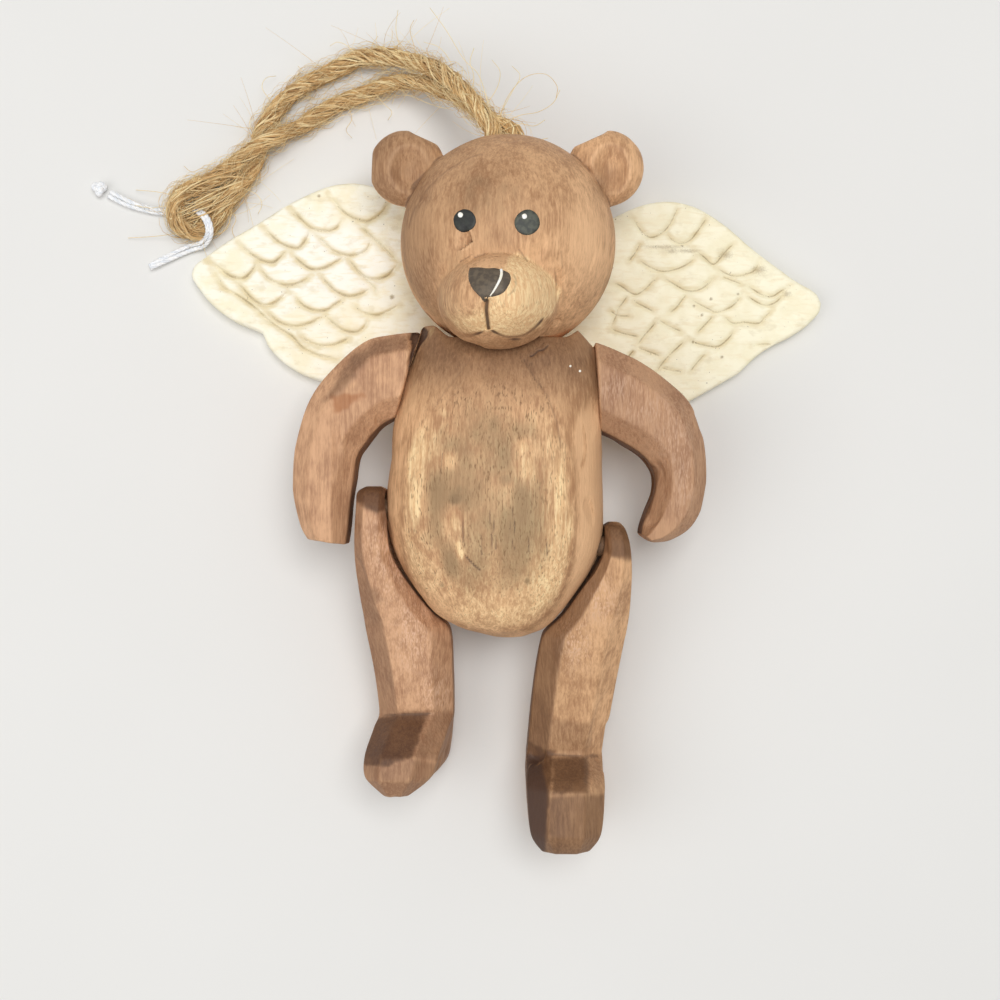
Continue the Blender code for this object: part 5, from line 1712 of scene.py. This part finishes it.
def short_hair(rng, path, side, up, radius):
    """A short hair that leaves the twine's surface at a slant and curls back."""
    points = 6
    step = np.linalg.norm(path[1] - path[0])
    steps = rng.uniform(0.0018, 0.0048) / step
    start = rng.uniform(6 + steps, len(path) - 7 - steps)
    t = np.linspace(0, 1, points)
    place = start + rng.choice((-1, 1)) * steps * t
    angle = rng.uniform(0, math.tau) + rng.uniform(-0.8, 0.8) * t
    reach = radius * 0.9 + rng.uniform(0.0003, 0.0018) * np.sin(t * 2.2)
    index = np.arange(len(path))
    hair = np.empty((points, 3))
    for k in range(3):
        spoke_side = np.interp(place, index, side[:, k])
        spoke_up = np.interp(place, index, up[:, k])
        spoke = spoke_side * np.cos(angle) + spoke_up * np.sin(angle)
        hair[:, k] = np.interp(place, index, path[:, k]) + spoke * reach
    thick = np.linspace(1.0, 0.5, points) * rng.uniform(0.000025, 0.00006)
    return keep_above_table(hair, 0.0001), thick, rng.uniform(0.4, 1.1), 3


def stray_fibres(name, chosen, rng, path, extra, stretch, strands):
    """Long loose fibres: the ones seen in the photograph, and more like them on a stretch of the twine."""
    for line in chosen:
        points = [from_photo(px, py, height / 1000) for px, py, height in line]
        fibre, _ = evenly(smooth_curve(points), 0.0007)
        strands.append((fibre, 0.000055, rng.uniform(0.7, 1.1), 4))
    step = np.linalg.norm(path[1] - path[0])
    for _ in range(extra):
        start = int(rng.uniform(*stretch) / step)
        length = rng.uniform(0.005, 0.010)
        heading = rng.normal(0, 1, 3)
        heading[2] = abs(heading[2]) * 0.4
        heading /= np.linalg.norm(heading)
        bend = rng.normal(0, 0.6, 3)
        t = np.linspace(0, 1, 10)[:, None]
        fibre = path[start] + heading * length * t + bend * length * t * t * 0.6
        thick = np.linspace(0.00005, 0.00002, 10)
        strands.append((keep_above_table(fibre, 0.0001), thick, rng.uniform(0.5, 1.1), 3))
    obj = tubes(name, strands, JUTE)
    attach(obj, "torso")
    return obj


def twisted_plies(centre, side, up, along, reach, pitch):
    """Three plies laid round the middle of a string."""
    turn = along / pitch * math.tau
    return [beside_path(centre, side, up, reach, turn + ply * math.tau / 3) for ply in range(3)]


# The string's two halves: how far from its middle, and the length in which they turn once
STRING_SPREAD = 0.00043
STRING_TWIST = 0.060

# Plies of the string and of its knot: distance from their middle, length of one turn, and radius
STRING_PLY_REACH, STRING_PLY_TURN, STRING_PLY_RADIUS = 0.00020, 0.0026, 0.00023
KNOT_PLY_REACH, KNOT_PLY_TURN, KNOT_PLY_RADIUS = 0.00022, 0.0022, 0.00026
KNOT_CORE_RADIUS = 0.00032
KNOT_CORD_RADIUS = 0.00030
STRING_HAIRS = 150


def make_string():
    rng = np.random.default_rng(8)
    path, length = evenly(smooth_curve(STRING_ROUTE), 0.0002)
    along = np.linspace(0, length, len(path))
    tangent, side, up = axes_along(path)
    strands = []
    for half in range(2):
        angle = along / STRING_TWIST * math.tau + half * math.pi
        centre = beside_path(path, side, up * 0.6, STRING_SPREAD, angle)
        plies = twisted_plies(centre, side, up, along, STRING_PLY_REACH, STRING_PLY_TURN)
        for ply, line in enumerate(plies):
            strands.append((line, STRING_PLY_RADIUS, 0.35 + 0.2 * ply, 6))
    for _ in range(STRING_HAIRS):
        start = rng.integers(3, len(path) - 4)
        angle = rng.uniform(0, math.tau)
        out = side[start] * math.cos(angle) + up[start] * math.sin(angle)
        t = np.linspace(0, 1, 5)[:, None]
        rise = 0.0005 + rng.uniform(0.0002, 0.0007) * t
        hair = path[start] + out * rise + tangent[start] * rng.normal(0, 0.0008) * t
        strands.append((keep_above_table(hair, 0.0001), 0.000018, 0.9, 3))
    string = tubes("cotton_string", strands, COTTON)
    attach(string, "torso")
    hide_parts("tag_string")
    knot = string_knot()


def string_knot():
    """An overhand knot of the same string."""
    low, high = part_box("tag_string_knot")
    middle = np.array((low + high) / 2)
    size = (high.x - low.x) / 2
    t = np.linspace(0, math.tau, 90)
    turns = np.column_stack((np.sin(t) + 2 * np.sin(2 * t), np.cos(t) - 2 * np.cos(2 * t), -np.sin(3 * t)))
    centre = middle + turns * ((size - 2 * KNOT_CORD_RADIUS) / 3)
    along = np.linspace(0, 0.02, len(t))
    _, side, up = axes_along(centre)
    strands = [(centre, KNOT_CORE_RADIUS, 0.3, 6)]
    for ply, line in enumerate(twisted_plies(centre, side, up, along, KNOT_PLY_REACH, KNOT_PLY_TURN)):
        strands.append((keep_above_table(line, 0.0003), KNOT_PLY_RADIUS, 0.4 + 0.2 * ply, 6))
    knot = tubes("cotton_knot", strands, COTTON)
    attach(knot, "torso")
    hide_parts("tag_string_knot")
    return knot


# Pieces that keep the model's own shape


def repaint(node, material):
    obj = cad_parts[node]
    obj.data.materials.clear()
    obj.data.materials.append(material)


# Stage: floor, light and camera


BACKDROP = srgb(236, 236, 235)
WORLD_STRENGTH = 0.40

# Lamps: name, place, size and power
LAMPS = (("key", (0.09, 0.13, 0.80), 0.34, 3.20), ("fill", (-0.40, -0.14, 0.62), 0.60, 1.65))
LAMP_TARGET = (0.0, 0.0, 0.01)

# Glow of the far floor, and the distances from the middle at which it starts and is full
FLOOR_GLOW = 0.56
GLOW_FROM, GLOW_FULL = 0.15, 1.10


def light_far_floor(look):
    """Makes up for the lamps' falling light far away, so that the floor is seen evenly pale."""
    distance = look.node("VectorMath", "Value", {0: look.place}, operation="LENGTH")
    far = look.product(look.step(distance, GLOW_FROM, GLOW_FULL), FLOOR_GLOW)
    look.shader["Emission Color"].default_value = BACKDROP
    look.put(look.shader["Emission Strength"], look.product(far, look.node("LightPath", "Is Camera Ray")))


def make_stage():
    bpy.ops.mesh.primitive_plane_add(size=6.0)
    floor = bpy.context.object
    floor.name = "floor"
    look = Look("floor_look", 0.9)
    patch = look.noise(0.05, (1, 1, 1), 2)
    floor.data.materials.append(look.finish(look.mix(patch, srgb(228, 227, 224), srgb(232, 231, 228))))
    light_far_floor(look)


def make_world():
    world = bpy.data.worlds.new("studio")
    bpy.context.scene.world = world
    world.use_nodes = True
    tree = world.node_tree
    background = tree.nodes["Background"]
    background.inputs["Color"].default_value = (1.0, 1.0, 1.0, 1.0)
    background.inputs["Strength"].default_value = WORLD_STRENGTH
    shown = tree.nodes.new("ShaderNodeBackground")
    shown.inputs["Color"].default_value = BACKDROP
    path = tree.nodes.new("ShaderNodeLightPath")
    either = tree.nodes.new("ShaderNodeMath")
    either.operation = "MAXIMUM"
    tree.links.new(path.outputs["Is Camera Ray"], either.inputs[0])
    tree.links.new(path.outputs["Is Glossy Ray"], either.inputs[1])
    mix = tree.nodes.new("ShaderNodeMixShader")
    tree.links.new(either.outputs[0], mix.inputs[0])
    tree.links.new(background.outputs[0], mix.inputs[1])
    tree.links.new(shown.outputs[0], mix.inputs[2])
    tree.links.new(mix.outputs[0], tree.nodes["World Output"].inputs["Surface"])


def make_lamp(name, place, size, power):
    lamp = bpy.data.lights.new(name, "AREA")
    lamp.size = size
    lamp.energy = power
    obj = new_object(name, lamp)
    obj.location = place
    obj.rotation_euler = (Vector(LAMP_TARGET) - Vector(place)).to_track_quat("-Z", "Y").to_euler()


def make_camera():
    data = bpy.data.cameras.new("camera")
    data.sensor_width = SENSOR
    data.lens = SENSOR / (PHOTO_SIDE * PIXEL_SLOPE)
    data.clip_start = 0.01
    camera = new_object("camera", data)
    camera.location = CAMERA_PLACE
    bpy.context.scene.camera = camera


bpy.context.scene.view_settings.view_transform = "Standard"
make_camera()
make_world()
for lamp in LAMPS:
    make_lamp(*lamp)
make_stage()

make_twine()
make_string()
head = make_head()
make_face(head)
make_body()
make_arms()
make_leg("left_leg", LEFT_LEG_SIDE_SHADING, 51, PINK_WOOD)
make_leg("right_leg", RIGHT_LEG_SIDE_SHADING, 61, BROWN_WOOD)
make_wing("left_wing", LEFT_WING_LINES, LEFT_WING_SPECKS, True, LEFT_IVORY, 71)
make_wing("right_wing", RIGHT_WING_LINES, RIGHT_WING_SPECKS, False, RIGHT_IVORY, 81)
for node in ("neck_dowel", "left_shoulder_peg", "right_shoulder_peg", "left_hip_peg", "right_hip_peg"):
    repaint(node, PEG_WOOD if node.endswith("hip_peg") else BARE_WOOD)
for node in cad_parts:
    if "brad" in node:
        repaint(node, STEEL)
